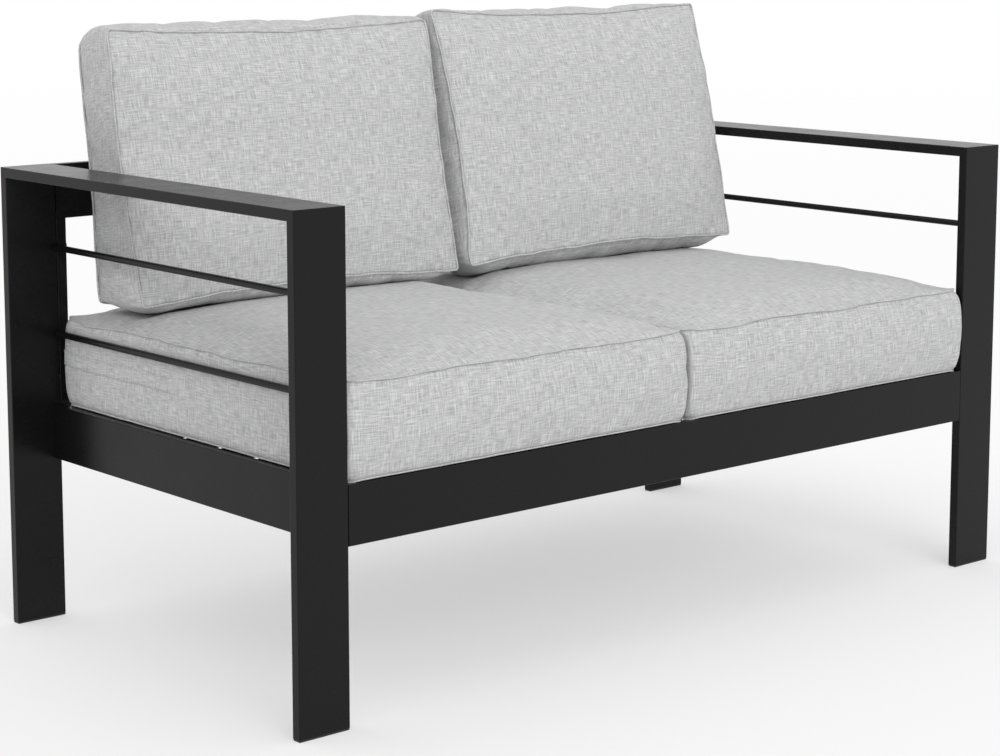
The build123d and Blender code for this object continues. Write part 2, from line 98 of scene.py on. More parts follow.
class Graph:
    """Adds nodes to one shader tree and links them, with plain values set on the sockets."""

    def __init__(self, tree: bpy.types.NodeTree) -> None:
        """Keeps the tree.

        Args:
            tree: the material's, world's or group's node tree.
        """
        self.tree = tree

    def node(self, kind: str, **settings: object) -> bpy.types.Node:
        """Adds a node.

        Args:
            kind: the node's type name.
            settings: the node's own properties.

        Returns:
            The new node.
        """
        made = self.tree.nodes.new(kind)
        for name, value in settings.items():
            setattr(made, name, value)
        return made

    def feed(self, socket: Socket, value: object) -> None:
        """Links a socket to another, or sets its value.

        Args:
            socket: the input to feed.
            value: an output socket, or a number, colour or vector.
        """
        if isinstance(value, Socket):
            self.tree.links.new(value, socket)
        else:
            socket.default_value = value

    def math(self, operation: str, first: object, *others: object) -> Socket:
        """Applies an operation to two or more values in turn.

        Args:
            operation: the Math node's operation.
            first: the first value, a socket or a number.
            others: the values that follow, one node each. None for an operation on one value.

        Returns:
            The last node's output.
        """
        result = first
        for other in others or (0.0,):
            made = self.node("ShaderNodeMath", operation=operation)
            self.feed(made.inputs[0], result)
            self.feed(made.inputs[1], other)
            result = made.outputs[0]
        return result

    def vector(self, *numbers: object) -> Socket:
        """Combines three numbers into a vector.

        Args:
            numbers: sockets or plain numbers.

        Returns:
            The vector.
        """
        made = self.node("ShaderNodeCombineXYZ")
        for socket, value in zip(made.inputs, numbers):
            self.feed(socket, value)
        return made.outputs[0]

    def parts(self, vector: object) -> tuple[Socket, Socket, Socket]:
        """Splits a vector into its three numbers.

        Args:
            vector: a socket or three plain numbers.

        Returns:
            The three outputs.
        """
        made = self.node("ShaderNodeSeparateXYZ")
        self.feed(made.inputs[0], vector)
        return tuple(made.outputs)

    def noise(self, place: object, scale: float, detail: float, roughness: float = 0.5) -> Socket:
        """Adds a noise texture.

        Args:
            place: where on the surface it is read.
            scale: how many of its waves a metre has.
            detail: how many finer layers it has.
            roughness: how strong the finer layers are.

        Returns:
            Its value, around a half.
        """
        made = self.node("ShaderNodeTexNoise")
        settings = {"Vector": place, "Scale": scale, "Detail": detail, "Roughness": roughness}
        for name, value in settings.items():
            self.feed(made.inputs[name], value)
        return made.outputs["Fac"]

    def span(
        self, value: object, low: float, high: float, to_low: float = 0.0, to_high: float = 1.0
    ) -> Socket:
        """Maps a value from one range to another, held at the ends.

        Args:
            value: the value.
            low: what becomes to_low.
            high: what becomes to_high.
            to_low: the result at low.
            to_high: the result at high.

        Returns:
            The mapped value.
        """
        made = self.node("ShaderNodeMapRange")
        settings = {"Value": value, "From Min": low, "From Max": high, "To Min": to_low, "To Max": to_high}
        for name, number in settings.items():
            self.feed(made.inputs[name], number)
        return made.outputs["Result"]

    def blend(self, share: object, first: object, second: object) -> Socket:
        """Mixes two colours.

        Args:
            share: how much of the second colour shows.
            first: a colour's socket or its values.
            second: the other colour's.

        Returns:
            The mixed colour.
        """
        made = self.node("ShaderNodeMix", data_type="RGBA")
        self.feed(made.inputs["Factor"], share)
        colours = [socket for socket in made.inputs if socket.type == "RGBA"]
        for socket, colour in zip(colours, (first, second)):
            self.feed(socket, colour if isinstance(colour, Socket) else (*colour, 1.0))
        return next(socket for socket in made.outputs if socket.type == "RGBA")

    def shader_mix(self, share: object, first: bpy.types.Node, second: bpy.types.Node) -> bpy.types.Node:
        """Mixes two shaders.

        Args:
            share: how much of the second one shows.
            first: a shader's node.
            second: the other shader's node.

        Returns:
            The node that mixes them.
        """
        made = self.node("ShaderNodeMixShader")
        for socket, value in zip(made.inputs, (share, first.outputs[0], second.outputs[0])):
            self.feed(socket, value)
        return made

    def group(self, tree: bpy.types.NodeTree, **values: object) -> bpy.types.Node:
        """Places a node group and feeds its inputs.

        Args:
            tree: the group's tree.
            values: what each input gets, with _ for a space in its name.

        Returns:
            The group's node.
        """
        made = self.node("ShaderNodeGroup", node_tree=tree)
        for name, value in values.items():
            self.feed(made.inputs[name.replace("_", " ")], value)
        return made


def new_group(name: str, takes: dict[str, str], gives: dict[str, str]) -> tuple[Graph, dict, dict]:
    """Starts a shader node group.

    Args:
        name: the group's name.
        takes: socket type by input name.
        gives: socket type by output name.

    Returns:
        The graph of its tree, its input sockets and its output sockets, by name.
    """
    tree = bpy.data.node_groups.new(name, "ShaderNodeTree")
    for socket, kind in takes.items():
        tree.interface.new_socket(socket, in_out="INPUT", socket_type=kind)
    for socket, kind in gives.items():
        tree.interface.new_socket(socket, in_out="OUTPUT", socket_type=kind)
    graph = Graph(tree)
    entry = graph.node("NodeGroupInput")
    leave = graph.node("NodeGroupOutput")
    sources = {socket: entry.outputs[socket] for socket in takes}
    targets = {socket: leave.inputs[socket] for socket in gives}
    return graph, sources, targets


@dataclass(frozen=True)
class Streaks:
    """Noise drawn out along threads, as shares of the thread's pitch, in a layer of its own."""

    width_share: float
    run_share: float
    layer: float
    weft_layer_step: float = 40.0

    def build(self, graph: Graph, across: Socket, along: Socket) -> tuple[Socket, Socket]:
        """Adds the noise of both sets of threads.

        Args:
            graph: where it is added.
            across: the thread count across the cloth.
            along: the thread count along the cloth.

        Returns:
            The noise drawn out along the warp, and along the weft.
        """
        found = []
        shares = (self.width_share, self.run_share)
        layers = (self.layer, self.layer + self.weft_layer_step)
        for (wide, long), layer in zip((shares, shares[::-1]), layers):
            place = graph.vector(
                graph.math("MULTIPLY", across, wide), graph.math("MULTIPLY", along, long), layer
            )
            found.append(graph.noise(place, scale=1.0, detail=1.0, roughness=0.6))
        return tuple(found)


class Effects:
    """The shader node groups that several finishes share."""

    yarn = Streaks(width_share=0.78, run_share=0.055, layer=0.0)
    thick_yarn = Streaks(width_share=0.6, run_share=0.03, layer=80.0)
    yarn_strength = 1.25
    crossing_strength = 0.1
    slub_range = (0.6, 0.78)

    def __init__(self) -> None:
        """Builds every group once."""
        self.weave = self._weave()
        self.mottle = self._mottle()
        self.worn_edges = self._worn_edges()
        self.dust = self._dust()

    def _weave(self) -> bpy.types.NodeTree:
        """Plain weave of slubby threads.

        Returns:
            The group: it puts out a tone around a half, and the height of the threads.
        """
        takes = {
            "Place": "NodeSocketVector",
            "Threads per metre": "NodeSocketFloat",
            "Slub": "NodeSocketFloat",
        }
        gives = {"Tone": "NodeSocketFloat", "Relief": "NodeSocketFloat"}
        graph, source, target = new_group("slub weave", takes, gives)
        place_x, place_y, _ = graph.parts(source["Place"])
        across = graph.math("MULTIPLY", place_x, source["Threads per metre"])
        along = graph.math("MULTIPLY", place_y, source["Threads per metre"])
        turn_across = graph.math("SINE", graph.math("MULTIPLY", across, math.pi))
        turn_along = graph.math("SINE", graph.math("MULTIPLY", along, math.pi))
        over = graph.span(graph.math("MULTIPLY", turn_across, turn_along), low=-0.6, high=0.6)
        under = graph.math("SUBTRACT", 1.0, over)
        warp, weft = self.yarn.build(graph, across, along)
        yarns = graph.math("SUBTRACT", graph.math("ADD", warp, weft), 1.0)
        crossings = graph.math("MULTIPLY", graph.math("SUBTRACT", over, 0.5), self.crossing_strength)
        threads = graph.math("ADD", graph.math("MULTIPLY", yarns, self.yarn_strength), crossings)
        thick = [graph.span(part, *self.slub_range) for part in self.thick_yarn.build(graph, across, along)]
        slubs = graph.math("MULTIPLY", graph.math("ADD", *thick), source["Slub"])
        round_warp = graph.math("MULTIPLY", graph.math("ABSOLUTE", turn_across), over)
        round_weft = graph.math("MULTIPLY", graph.math("ABSOLUTE", turn_along), under)
        graph.feed(target["Tone"], graph.math("ADD", threads, slubs, 0.5))
        graph.feed(target["Relief"], graph.math("ADD", round_warp, round_weft, threads, slubs))
        return graph.tree

    @staticmethod
    def _mottle() -> bpy.types.NodeTree:
        """Slow unevenness around a middle value.

        Returns:
            The group: it puts out the value.
        """
        takes = {
            "Place": "NodeSocketVector",
            "Per metre": "NodeSocketFloat",
            "Middle": "NodeSocketFloat",
            "Swing": "NodeSocketFloat",
        }
        graph, source, target = new_group("mottle", takes, {"Value": "NodeSocketFloat"})
        grain = graph.noise(source["Place"], source["Per metre"], detail=3.0, roughness=0.55)
        swing = graph.math("MULTIPLY", graph.math("SUBTRACT", grain, 0.5), source["Swing"])
        graph.feed(target["Value"], graph.math("ADD", source["Middle"], swing))
        return graph.tree

    @staticmethod
    def _worn_edges() -> bpy.types.NodeTree:
        """Wear on outer edges, broken up by noise.

        Returns:
            The group: it puts out a mask that is high where the coat is rubbed.
        """
        takes = {
            "Place": "NodeSocketVector",
            "Reach": "NodeSocketFloat",
            "Amount": "NodeSocketFloat",
        }
        graph, source, target = new_group("worn edges", takes, {"Mask": "NodeSocketFloat"})
        rounded = graph.node("ShaderNodeBevel", samples=6)
        graph.feed(rounded.inputs["Radius"], source["Reach"])
        surface = graph.node("ShaderNodeNewGeometry")
        turn = graph.node("ShaderNodeVectorMath", operation="DOT_PRODUCT")
        graph.feed(turn.inputs[0], rounded.outputs["Normal"])
        graph.feed(turn.inputs[1], surface.outputs["True Normal"])
        edge = graph.span(turn.outputs["Value"], low=0.99, high=0.8)
        grain = graph.noise(source["Place"], scale=60.0, detail=4.0, roughness=0.65)
        broken = graph.span(grain, low=0.42, high=0.62)
        graph.feed(target["Mask"], graph.math("MULTIPLY", edge, broken, source["Amount"]))
        return graph.tree

    @staticmethod
    def _dust() -> bpy.types.NodeTree:
        """A thin film on faces that look up, uneven as settled dust is.

        Returns:
            The group: it puts out a mask that is high where dust lies.
        """
        takes = {"Place": "NodeSocketVector", "Amount": "NodeSocketFloat"}
        graph, source, target = new_group("settled dust", takes, {"Mask": "NodeSocketFloat"})
        surface = graph.node("ShaderNodeNewGeometry")
        _, _, facing_up = graph.parts(surface.outputs["Normal"])
        upward = graph.span(facing_up, low=0.6, high=1.0)
        grain = graph.noise(source["Place"], scale=35.0, detail=5.0, roughness=0.6)
        patches = graph.span(grain, low=0.35, high=0.75, to_low=0.2)
        graph.feed(target["Mask"], graph.math("MULTIPLY", upward, patches, source["Amount"]))
        return graph.tree


class Surface(Graph):
    """A material with a Principled surface, and the ways in which the finishes feed it."""

    def __init__(self, name: str, effects: Effects) -> None:
        """Starts the material.

        Args:
            name: the material's name.
            effects: the shared node groups.
        """
        self.material = bpy.data.materials.new(name)
        self.material.use_nodes = True
        super().__init__(self.material.node_tree)
        self.tree.nodes.clear()
        self.effects = effects
        self.principled = self.node("ShaderNodeBsdfPrincipled")
        output = self.node("ShaderNodeOutputMaterial")
        self.feed(output.inputs["Surface"], self.principled.outputs["BSDF"])

    def place(self) -> Socket:
        """Where a point lies on its object, in metres."""
        return self.node("ShaderNodeTexCoord").outputs["Object"]

    def attribute(self, name: str) -> Socket:
        """A value that is stored at the mesh's points."""
        return self.node("ShaderNodeAttribute", attribute_name=name).outputs["Fac"]

    def uneven(self, place: Socket, per_metre: float, middle: float, swing: float) -> Socket:
        """A value that wanders around a middle."""
        values = {"Place": place, "Per_metre": per_metre, "Middle": middle, "Swing": swing}
        return self.group(self.effects.mottle, **values).outputs["Value"]

    def wear(self, place: Socket, reach: float, amount: float) -> Socket:
        """The mask of rubbed outer edges."""
        worn = self.group(self.effects.worn_edges, Place=place, Reach=reach, Amount=amount)
        return worn.outputs["Mask"]

    def ribs(self, run: Socket, per_metre: float) -> Socket:
        """Even ribs along a run: 0 in the grooves and 1 on the ribs."""
        wave = self.math("SINE", self.math("MULTIPLY", run, 2 * math.pi * per_metre))
        return self.span(wave, -1.0, 1.0)

    def bump(self, height: Socket, strength: float, distance: float, under: Socket | None = None) -> Socket:
        """Turns a height into a bent normal.

        Args:
            height: the height, in shares of the distance.
            strength: how much of it shows.
            distance: what a height of one means, in metres.
            under: a normal that is bent already.

        Returns:
            The normal.
        """
        made = self.node("ShaderNodeBump")
        made.inputs["Strength"].default_value = strength
        made.inputs["Distance"].default_value = distance
        self.feed(made.inputs["Height"], height)
        if under:
            self.feed(made.inputs["Normal"], under)
        return made.outputs["Normal"]

    def plain(self, **values: float) -> None:
        """Sets values on the Principled node itself, with _ for a space in their names."""
        for name, value in values.items():
            self.principled.inputs[name.replace("_", " ")].default_value = value

    def finish(self, colour: Socket, roughness: Socket, normal: Socket) -> bpy.types.Material:
        """Feeds the surface.

        Args:
            colour: its base colour.
            roughness: its roughness.
            normal: its bent normal.

        Returns:
            The finished material.
        """
        for name, value in {"Base Color": colour, "Roughness": roughness, "Normal": normal}.items():
            self.feed(self.principled.inputs[name], value)
        return self.material


def grey(level: float) -> Colour:
    """A neutral colour."""
    return (level, level, level)


# Finishes


@dataclass(frozen=True)
class WovenFabric:
    """Light grey outdoor fabric: plain weave with slubs, dull and puckered along its seams, with painted
    shade darkening the seam creases.
    """

    name: str
    dark: Colour = (0.385, 0.387, 0.39)
    light: Colour = (0.715, 0.715, 0.715)
    # painted shade: the colour of the seam creases and how strongly it is mixed in, standing in for the shade
    # there
    painted_seam_shade_colour: Colour = (0.22, 0.22, 0.223)
    seam_shade: float = 0.42
    threads_per_metre: float = 900.0
    slub: float = 0.34
    thread_height: float = 0.18 * MM
    pucker_height: float = 1.5 * MM
    puckers_per_metre: float = 75.0
    roughness: float = 0.88

    def build(self, effects: Effects) -> bpy.types.Material:
        """Makes the material.

        Args:
            effects: the shared node groups.

        Returns:
            The fabric's material.
        """
        surface = Surface(self.name, effects)
        surface.plain(Specular_IOR_Level=0.25, Sheen_Weight=0.1, Sheen_Roughness=0.5)
        place = surface.node("ShaderNodeUVMap", uv_map="cloth").outputs["UV"]
        weave = surface.group(
            effects.weave, Place=place, Threads_per_metre=self.threads_per_metre, Slub=self.slub
        )
        patchy = surface.uneven(place, per_metre=14.0, middle=0.0, swing=0.06)
        tone = surface.math("ADD", weave.outputs["Tone"], patchy)
        woven = surface.blend(surface.span(tone, low=0.1, high=0.9), self.dark, self.light)
        # painted shade: the seam mask darkens the woven colour towards the painted seam shade colour
        seam = surface.math("POWER", surface.attribute("painted_shade_mask"), 2.0)
        colour = surface.blend(surface.math("MULTIPLY", seam, self.seam_shade), woven, self.painted_seam_shade_colour)
        folds = surface.noise(place, self.puckers_per_metre, detail=2.0, roughness=0.45)
        puckers = surface.math("MULTIPLY", folds, surface.attribute("seam_pull"))
        gathered = surface.bump(puckers, strength=0.8, distance=self.pucker_height)
        normal = surface.bump(
            weave.outputs["Relief"], strength=0.4, distance=self.thread_height, under=gathered
        )
        roughness = surface.uneven(place, per_metre=90.0, middle=self.roughness, swing=0.1)
        return surface.finish(colour, roughness, normal)


@dataclass(frozen=True)
class SewingThread:
    """Twisted polyester thread in the fabric's grey, with painted shade in the grooves of its twist."""

    name: str
    # dark is painted shade in the grooves of the twist; light is the thread's own grey
    dark: Colour = grey(0.3)
    light: Colour = grey(0.62)
    twists_per_metre: float = 1400.0
    ply_height: float = 0.15 * MM
    roughness: float = 0.7

    def build(self, effects: Effects) -> bpy.types.Material:
        """Makes the material.

        Args:
            effects: the shared node groups.

        Returns:
            The thread's material.
        """
        surface = Surface(self.name, effects)
        place = surface.place()
        ply = surface.ribs(surface.math("ADD", *surface.parts(place)), self.twists_per_metre)
        # painted shade: the colour darkens into the grooves between the plies, as the bump has them
        colour = surface.blend(ply, self.dark, self.light)
        normal = surface.bump(ply, strength=0.6, distance=self.ply_height)
        roughness = surface.uneven(place, per_metre=500.0, middle=self.roughness, swing=0.2)
        return surface.finish(colour, roughness, normal)


@dataclass(frozen=True)
class PowderCoat:
    """Satin black powder coat on tube: fine orange peel, faint dust and barely lighter edges."""

    name: str
    colour: Colour = (0.0068, 0.0068, 0.0071)
    edge_colour: Colour = (0.024, 0.024, 0.025)
    dust_colour: Colour = (0.09, 0.088, 0.085)
    edge_reach: float = 1.2 * MM
    dust_amount: float = 0.05
    roughness: float = 0.28
    edge_polish: float = 0.08
    peel_per_metre: float = 1300.0
    peel_height: float = 0.1 * MM

    def build(self, effects: Effects) -> bpy.types.Material:
        """Makes the material.

        Args:
            effects: the shared node groups.

        Returns:
            The coat's material.
        """
        surface = Surface(self.name, effects)
        surface.plain(Specular_IOR_Level=0.18)
        place = surface.place()
        worn = surface.wear(place, self.edge_reach, amount=0.55)
        dust = surface.group(effects.dust, Place=place, Amount=self.dust_amount).outputs["Mask"]
        rubbed = surface.blend(worn, self.colour, self.edge_colour)
        colour = surface.blend(dust, rubbed, self.dust_colour)
        uneven = surface.uneven(place, per_metre=22.0, middle=self.roughness, swing=0.14)
        polish = surface.math("MULTIPLY", worn, self.edge_polish)
        peel = surface.noise(place, self.peel_per_metre, detail=2.0)
        normal = surface.bump(peel, strength=0.12, distance=self.peel_height)
        return surface.finish(colour, surface.math("SUBTRACT", uneven, polish), normal)


@dataclass(frozen=True)
class MouldedPlastic:
    """Matt moulded plastic of plugs and caps, with a fine spark-eroded grain."""

    name: str
    colour: Colour = grey(0.012)
    edge_colour: Colour = grey(0.05)
    edge_reach: float = 0.8 * MM
    roughness: float = 0.6
    grain_per_metre: float = 2600.0
    grain_height: float = 0.08 * MM

    def build(self, effects: Effects) -> bpy.types.Material:
        """Makes the material.

        Args:
            effects: the shared node groups.

        Returns:
            The plastic's material.
        """
        surface = Surface(self.name, effects)
        place = surface.place()
        worn = surface.wear(place, self.edge_reach, amount=0.6)
        colour = surface.blend(worn, self.colour, self.edge_colour)
        grain = surface.noise(place, self.grain_per_metre, detail=1.0)
        normal = surface.bump(grain, strength=0.3, distance=self.grain_height)
        roughness = surface.uneven(place, per_metre=140.0, middle=self.roughness, swing=0.2)
        return surface.finish(colour, roughness, normal)


@dataclass(frozen=True)
class PlatedSteel:
    """Plated steel of fasteners and zip sliders, with fine turning marks and dull spots."""

    name: str
    colour: Colour = (0.42, 0.42, 0.41)
    dull_colour: Colour = (0.26, 0.26, 0.255)
    edge_colour: Colour = grey(0.6)
    edge_reach: float = 0.4 * MM
    roughness: float = 0.34
    spots_per_metre: float = 420.0
    marks_per_metre: float = 3000.0
    mark_height: float = 0.05 * MM

    def build(self, effects: Effects) -> bpy.types.Material:
        """Makes the material.

        Args:
            effects: the shared node groups.

        Returns:
            The steel's material.
        """
        surface = Surface(self.name, effects)
        surface.plain(Metallic=1.0)
        place = surface.place()
        grain = surface.noise(place, self.spots_per_metre, detail=4.0, roughness=0.6)
        spots = surface.span(grain, low=0.48, high=0.66)
        plated = surface.blend(spots, self.colour, self.dull_colour)
        worn = surface.wear(place, self.edge_reach, amount=0.8)
        colour = surface.blend(worn, plated, self.edge_colour)
        marks = surface.noise(place, self.marks_per_metre, detail=2.0)
        normal = surface.bump(marks, strength=0.2, distance=self.mark_height)
        roughness = surface.uneven(place, per_metre=700.0, middle=self.roughness, swing=0.3)
        return surface.finish(colour, roughness, normal)


@dataclass(frozen=True)
class ZipWeave:
    """Zip tape and coil: fine ribs across the tape in a mid grey, with painted shade between the ribs and
    flecks of uneven tone.
    """

    name: str
    # dark is painted shade in the grooves between the ribs; light is the tape's own grey
    dark: Colour = grey(0.2)
    light: Colour = grey(0.42)
    ribs_per_metre: float = 700.0
    rib_height: float = 0.3 * MM
    roughness: float = 0.75

    def build(self, effects: Effects) -> bpy.types.Material:
        """Makes the material.

        Args:
            effects: the shared node groups.

        Returns:
            The zip's material.
        """
        surface = Surface(self.name, effects)
        place = surface.place()
        place_x, place_y, _ = surface.parts(place)
        rib = surface.ribs(surface.math("ADD", place_x, place_y), self.ribs_per_metre)
        flecks = surface.uneven(place, per_metre=900.0, middle=0.0, swing=0.6)
        # partly painted shade: the ribs darken the grooves between them, as the bump has them; the flecks are
        # the tape's own uneven tone
        colour = surface.blend(surface.math("ADD", rib, flecks), self.dark, self.light)
        normal = surface.bump(rib, strength=0.6, distance=self.rib_height)
        roughness = surface.uneven(place, per_metre=200.0, middle=self.roughness, swing=0.15)
        return surface.finish(colour, roughness, normal)


@dataclass(frozen=True)
class OpenFoam:
    """Cream open-cell foam with small cells, with painted shade in the cell pits."""

    name: str
    # cell is painted shade deep in the cell pits; skin is the foam's own cream
    cell: Colour = (0.5, 0.44, 0.3)
    skin: Colour = (0.78, 0.73, 0.58)
    cells_per_metre: float = 500.0
    cell_height: float = 0.6 * MM
    roughness: float = 0.95

    def build(self, effects: Effects) -> bpy.types.Material:
        """Makes the material.

        Args:
            effects: the shared node groups.

        Returns:
            The foam's material.
        """
        surface = Surface(self.name, effects)
        place = surface.place()
        cells = surface.node("ShaderNodeTexVoronoi")
        surface.feed(cells.inputs["Vector"], place)
        surface.feed(cells.inputs["Scale"], self.cells_per_metre)
        depth = cells.outputs["Distance"]
        # painted shade: the colour goes from skin to cell towards the bottom of each pit, where the bump is
        # lowest
        share = surface.span(depth, low=0.1, high=0.6, to_low=1.0, to_high=0.0)
        colour = surface.blend(share, self.skin, self.cell)
        normal = surface.bump(depth, strength=0.7, distance=self.cell_height)
        roughness = surface.uneven(place, per_metre=60.0, middle=self.roughness, swing=0.08)
        return surface.finish(colour, roughness, normal)


# Mesh helpers


def mesh_piece(
    name: str, points: np.ndarray, faces: list[list[int]], material: bpy.types.Material
) -> bpy.types.Object:
    """Makes a mesh object in the shared frame and links it to the scene.

    Args:
        name: the piece's name.
        points: its points, in metres.
        faces: lists of point numbers.
        material: its finish.

    Returns:
        The object.
    """
    mesh = bpy.data.meshes.new(name)
    mesh.from_pydata([tuple(point) for point in points], [], faces)
    mesh.update()
    mesh.polygons.foreach_set("use_smooth", [True] * len(mesh.polygons))
    mesh.materials.append(material)
    made = bpy.data.objects.new(name, mesh)
    bpy.context.scene.collection.objects.link(made)
    return made


def set_cloth_map(piece: bpy.types.Object, corners: np.ndarray) -> None:
    """Stores where each face corner lies on the flat cloth, in metres.

    Args:
        piece: the mesh object.
        corners: two numbers for each face corner, in the order of the mesh's loops.
    """
    layer = piece.data.uv_layers.new(name="cloth")
    layer.data.foreach_set("uv", np.asarray(corners, dtype=np.float32).ravel())


def set_point_value(piece: bpy.types.Object, name: str, values: np.ndarray) -> None:
    """Stores one number for each point of a mesh, for its material to read.

    Args:
        piece: the mesh object.
        name: what the material calls it.
        values: the numbers, in the order of the points.
    """
    layer = piece.data.attributes.new(name, "FLOAT", "POINT")
    layer.data.foreach_set("value", np.asarray(values, dtype=np.float32))


def bake_modifiers(piece: bpy.types.Object) -> None:
    """Replaces a piece's mesh by the one that its modifiers make.

    Args:
        piece: the mesh object, which keeps no modifier.
    """
    graph = bpy.context.evaluated_depsgraph_get()
    finished = bpy.data.meshes.new_from_object(piece.evaluated_get(graph))
    piece.modifiers.clear()
    piece.data = finished


def round_off(piece: bpy.types.Object) -> None:
    """Smooths a piece with one subdivision, for good.

    Args:
        piece: the mesh object.
    """
    finer = piece.modifiers.new("finer", "SUBSURF")
    finer.levels = 1
    finer.render_levels = 1
    bake_modifiers(piece)


def unit(vectors: np.ndarray) -> np.ndarray:
    """Vectors brought to length one."""
    return vectors / np.maximum(np.linalg.norm(vectors, axis=-1, keepdims=True), 1e-12)


def path_runs(line: np.ndarray, closed: bool) -> np.ndarray:
    """How far along a line each of its points is.

    Args:
        line: the points.
        closed: whether it runs back to its start.

    Returns:
        The length up to each point, and round to the start if it is closed.
    """
    following = np.concatenate((line[1:], line[:1])) if closed else line[1:]
    steps = np.linalg.norm(following - line[: len(following)], axis=1)
    return np.concatenate(([0.0], np.cumsum(steps)))


def value_along(values: np.ndarray, runs: np.ndarray, run: float) -> np.ndarray:
    """Reads three numbers part of the way along a line.

    Args:
        values: the three numbers at each of the line's points.
        runs: how far along the line each point is.
        run: how far along they are read.

    Returns:
        The three numbers there.
    """
    return np.array([np.interp(run, runs, values[:, axis]) for axis in range(3)])


def mesh_points(piece: bpy.types.Object) -> np.ndarray:
    """Reads the points of a mesh.

    Args:
        piece: the mesh object.

    Returns:
        Its points as its modifiers leave them.
    """
    graph = bpy.context.evaluated_depsgraph_get()
    evaluated = piece.evaluated_get(graph)
    mesh = evaluated.to_mesh()
    flat = np.zeros(len(mesh.vertices) * 3)
    mesh.vertices.foreach_get("co", flat)
    evaluated.to_mesh_clear()
    return flat.reshape(-1, 3)


def smooth_step(values: np.ndarray) -> np.ndarray:
    """Eases from 0 to 1, held outside."""
    held = np.clip(values, 0.0, 1.0)
    return held * held * (3 - 2 * held)


def soft_limit(values: np.ndarray, limit: float, reach: float) -> np.ndarray:
    """Lets values come ever more slowly near a limit, and never past it.

    Args:
        values: the values.
        limit: the limit that they stay below.
        reach: how far below the limit they start to slow down.

    Returns:
        The held values.
    """
    over = np.maximum(values - (limit - reach), 0)
    return np.where(over > 0, limit - reach * np.exp(-over / reach), values)


def ripple(turns: np.ndarray, waves: tuple[int, ...], amplitude: float, seed: int) -> np.ndarray:
    """A smooth uneven line round a closed loop.

    Args:
        turns: places on the loop, from 0 to 1.
        waves: how many waves each part has in one turn.
        amplitude: its scale, in metres. The first part is 0.2 to 0.5 of it high.
        seed: fixes the parts' heights and phases.

    Returns:
        The height at each place.
    """
    chance = np.random.default_rng(seed)
    total = np.zeros_like(turns)
    for count in waves:
        share = chance.uniform(0.4, 1.0) / math.sqrt(count / waves[0])
        total += share * np.sin(2 * math.pi * (count * turns + chance.uniform()))
    return amplitude * total / 2


def swell(places: np.ndarray, length: float, amplitude: float, seed: int) -> np.ndarray:
    """Slow uneven height over a panel, from a few crossing waves.

    Args:
        places: points on the panel, two numbers each.
        length: the typical distance between crests, in metres.
        amplitude: the height, in metres.
        seed: fixes directions and phases.

    Returns:
        The height at each place.
    """
    chance = np.random.default_rng(seed)
    total = np.zeros(places.shape[:-1])
    parts = 7
    for _ in range(parts):
        heading = chance.uniform(0, math.pi)
        pace = 2 * math.pi / (length * chance.uniform(0.7, 1.6))
        run = places[..., 0] * math.cos(heading) + places[..., 1] * math.sin(heading)
        total += np.sin(pace * run + chance.uniform(0, 2 * math.pi))
    return amplitude * total / math.sqrt(parts)


# Cushions


@dataclass(frozen=True)
class SeamLine:
    """Where a loop runs round the cushion.

    Near, far and sides say how far it lies inside the plan. The draw values pull the middle of a side
    further in: of every side, of the two ends, of the inner side and of the outer side. The corner lifts
    move its near and far corners towards the far side, and ears raise all corners.
    """

    near: float
    far: float
    sides: float
    corner_radius: float
    height_near: float = 0.0
    height_far: float = 0.0
    draw_in: float = 0.0
    draw_ends: float = 0.0
    draw_inner: float = 0.0
    draw_outer: float = 0.0
    near_corner_lift: float = 0.0
    far_corner_lift: float = 0.0
    lift_reach: float = 80 * MM
    ears: float = 0.0
    ear_reach: float = 30 * MM
    waviness: float = 1.0


@dataclass(frozen=True)
class ZipRun:
    """Where a cushion's zip lies open to view: between two places along one side of the boxing."""

    side: BoxSide
    start: float
    end: float


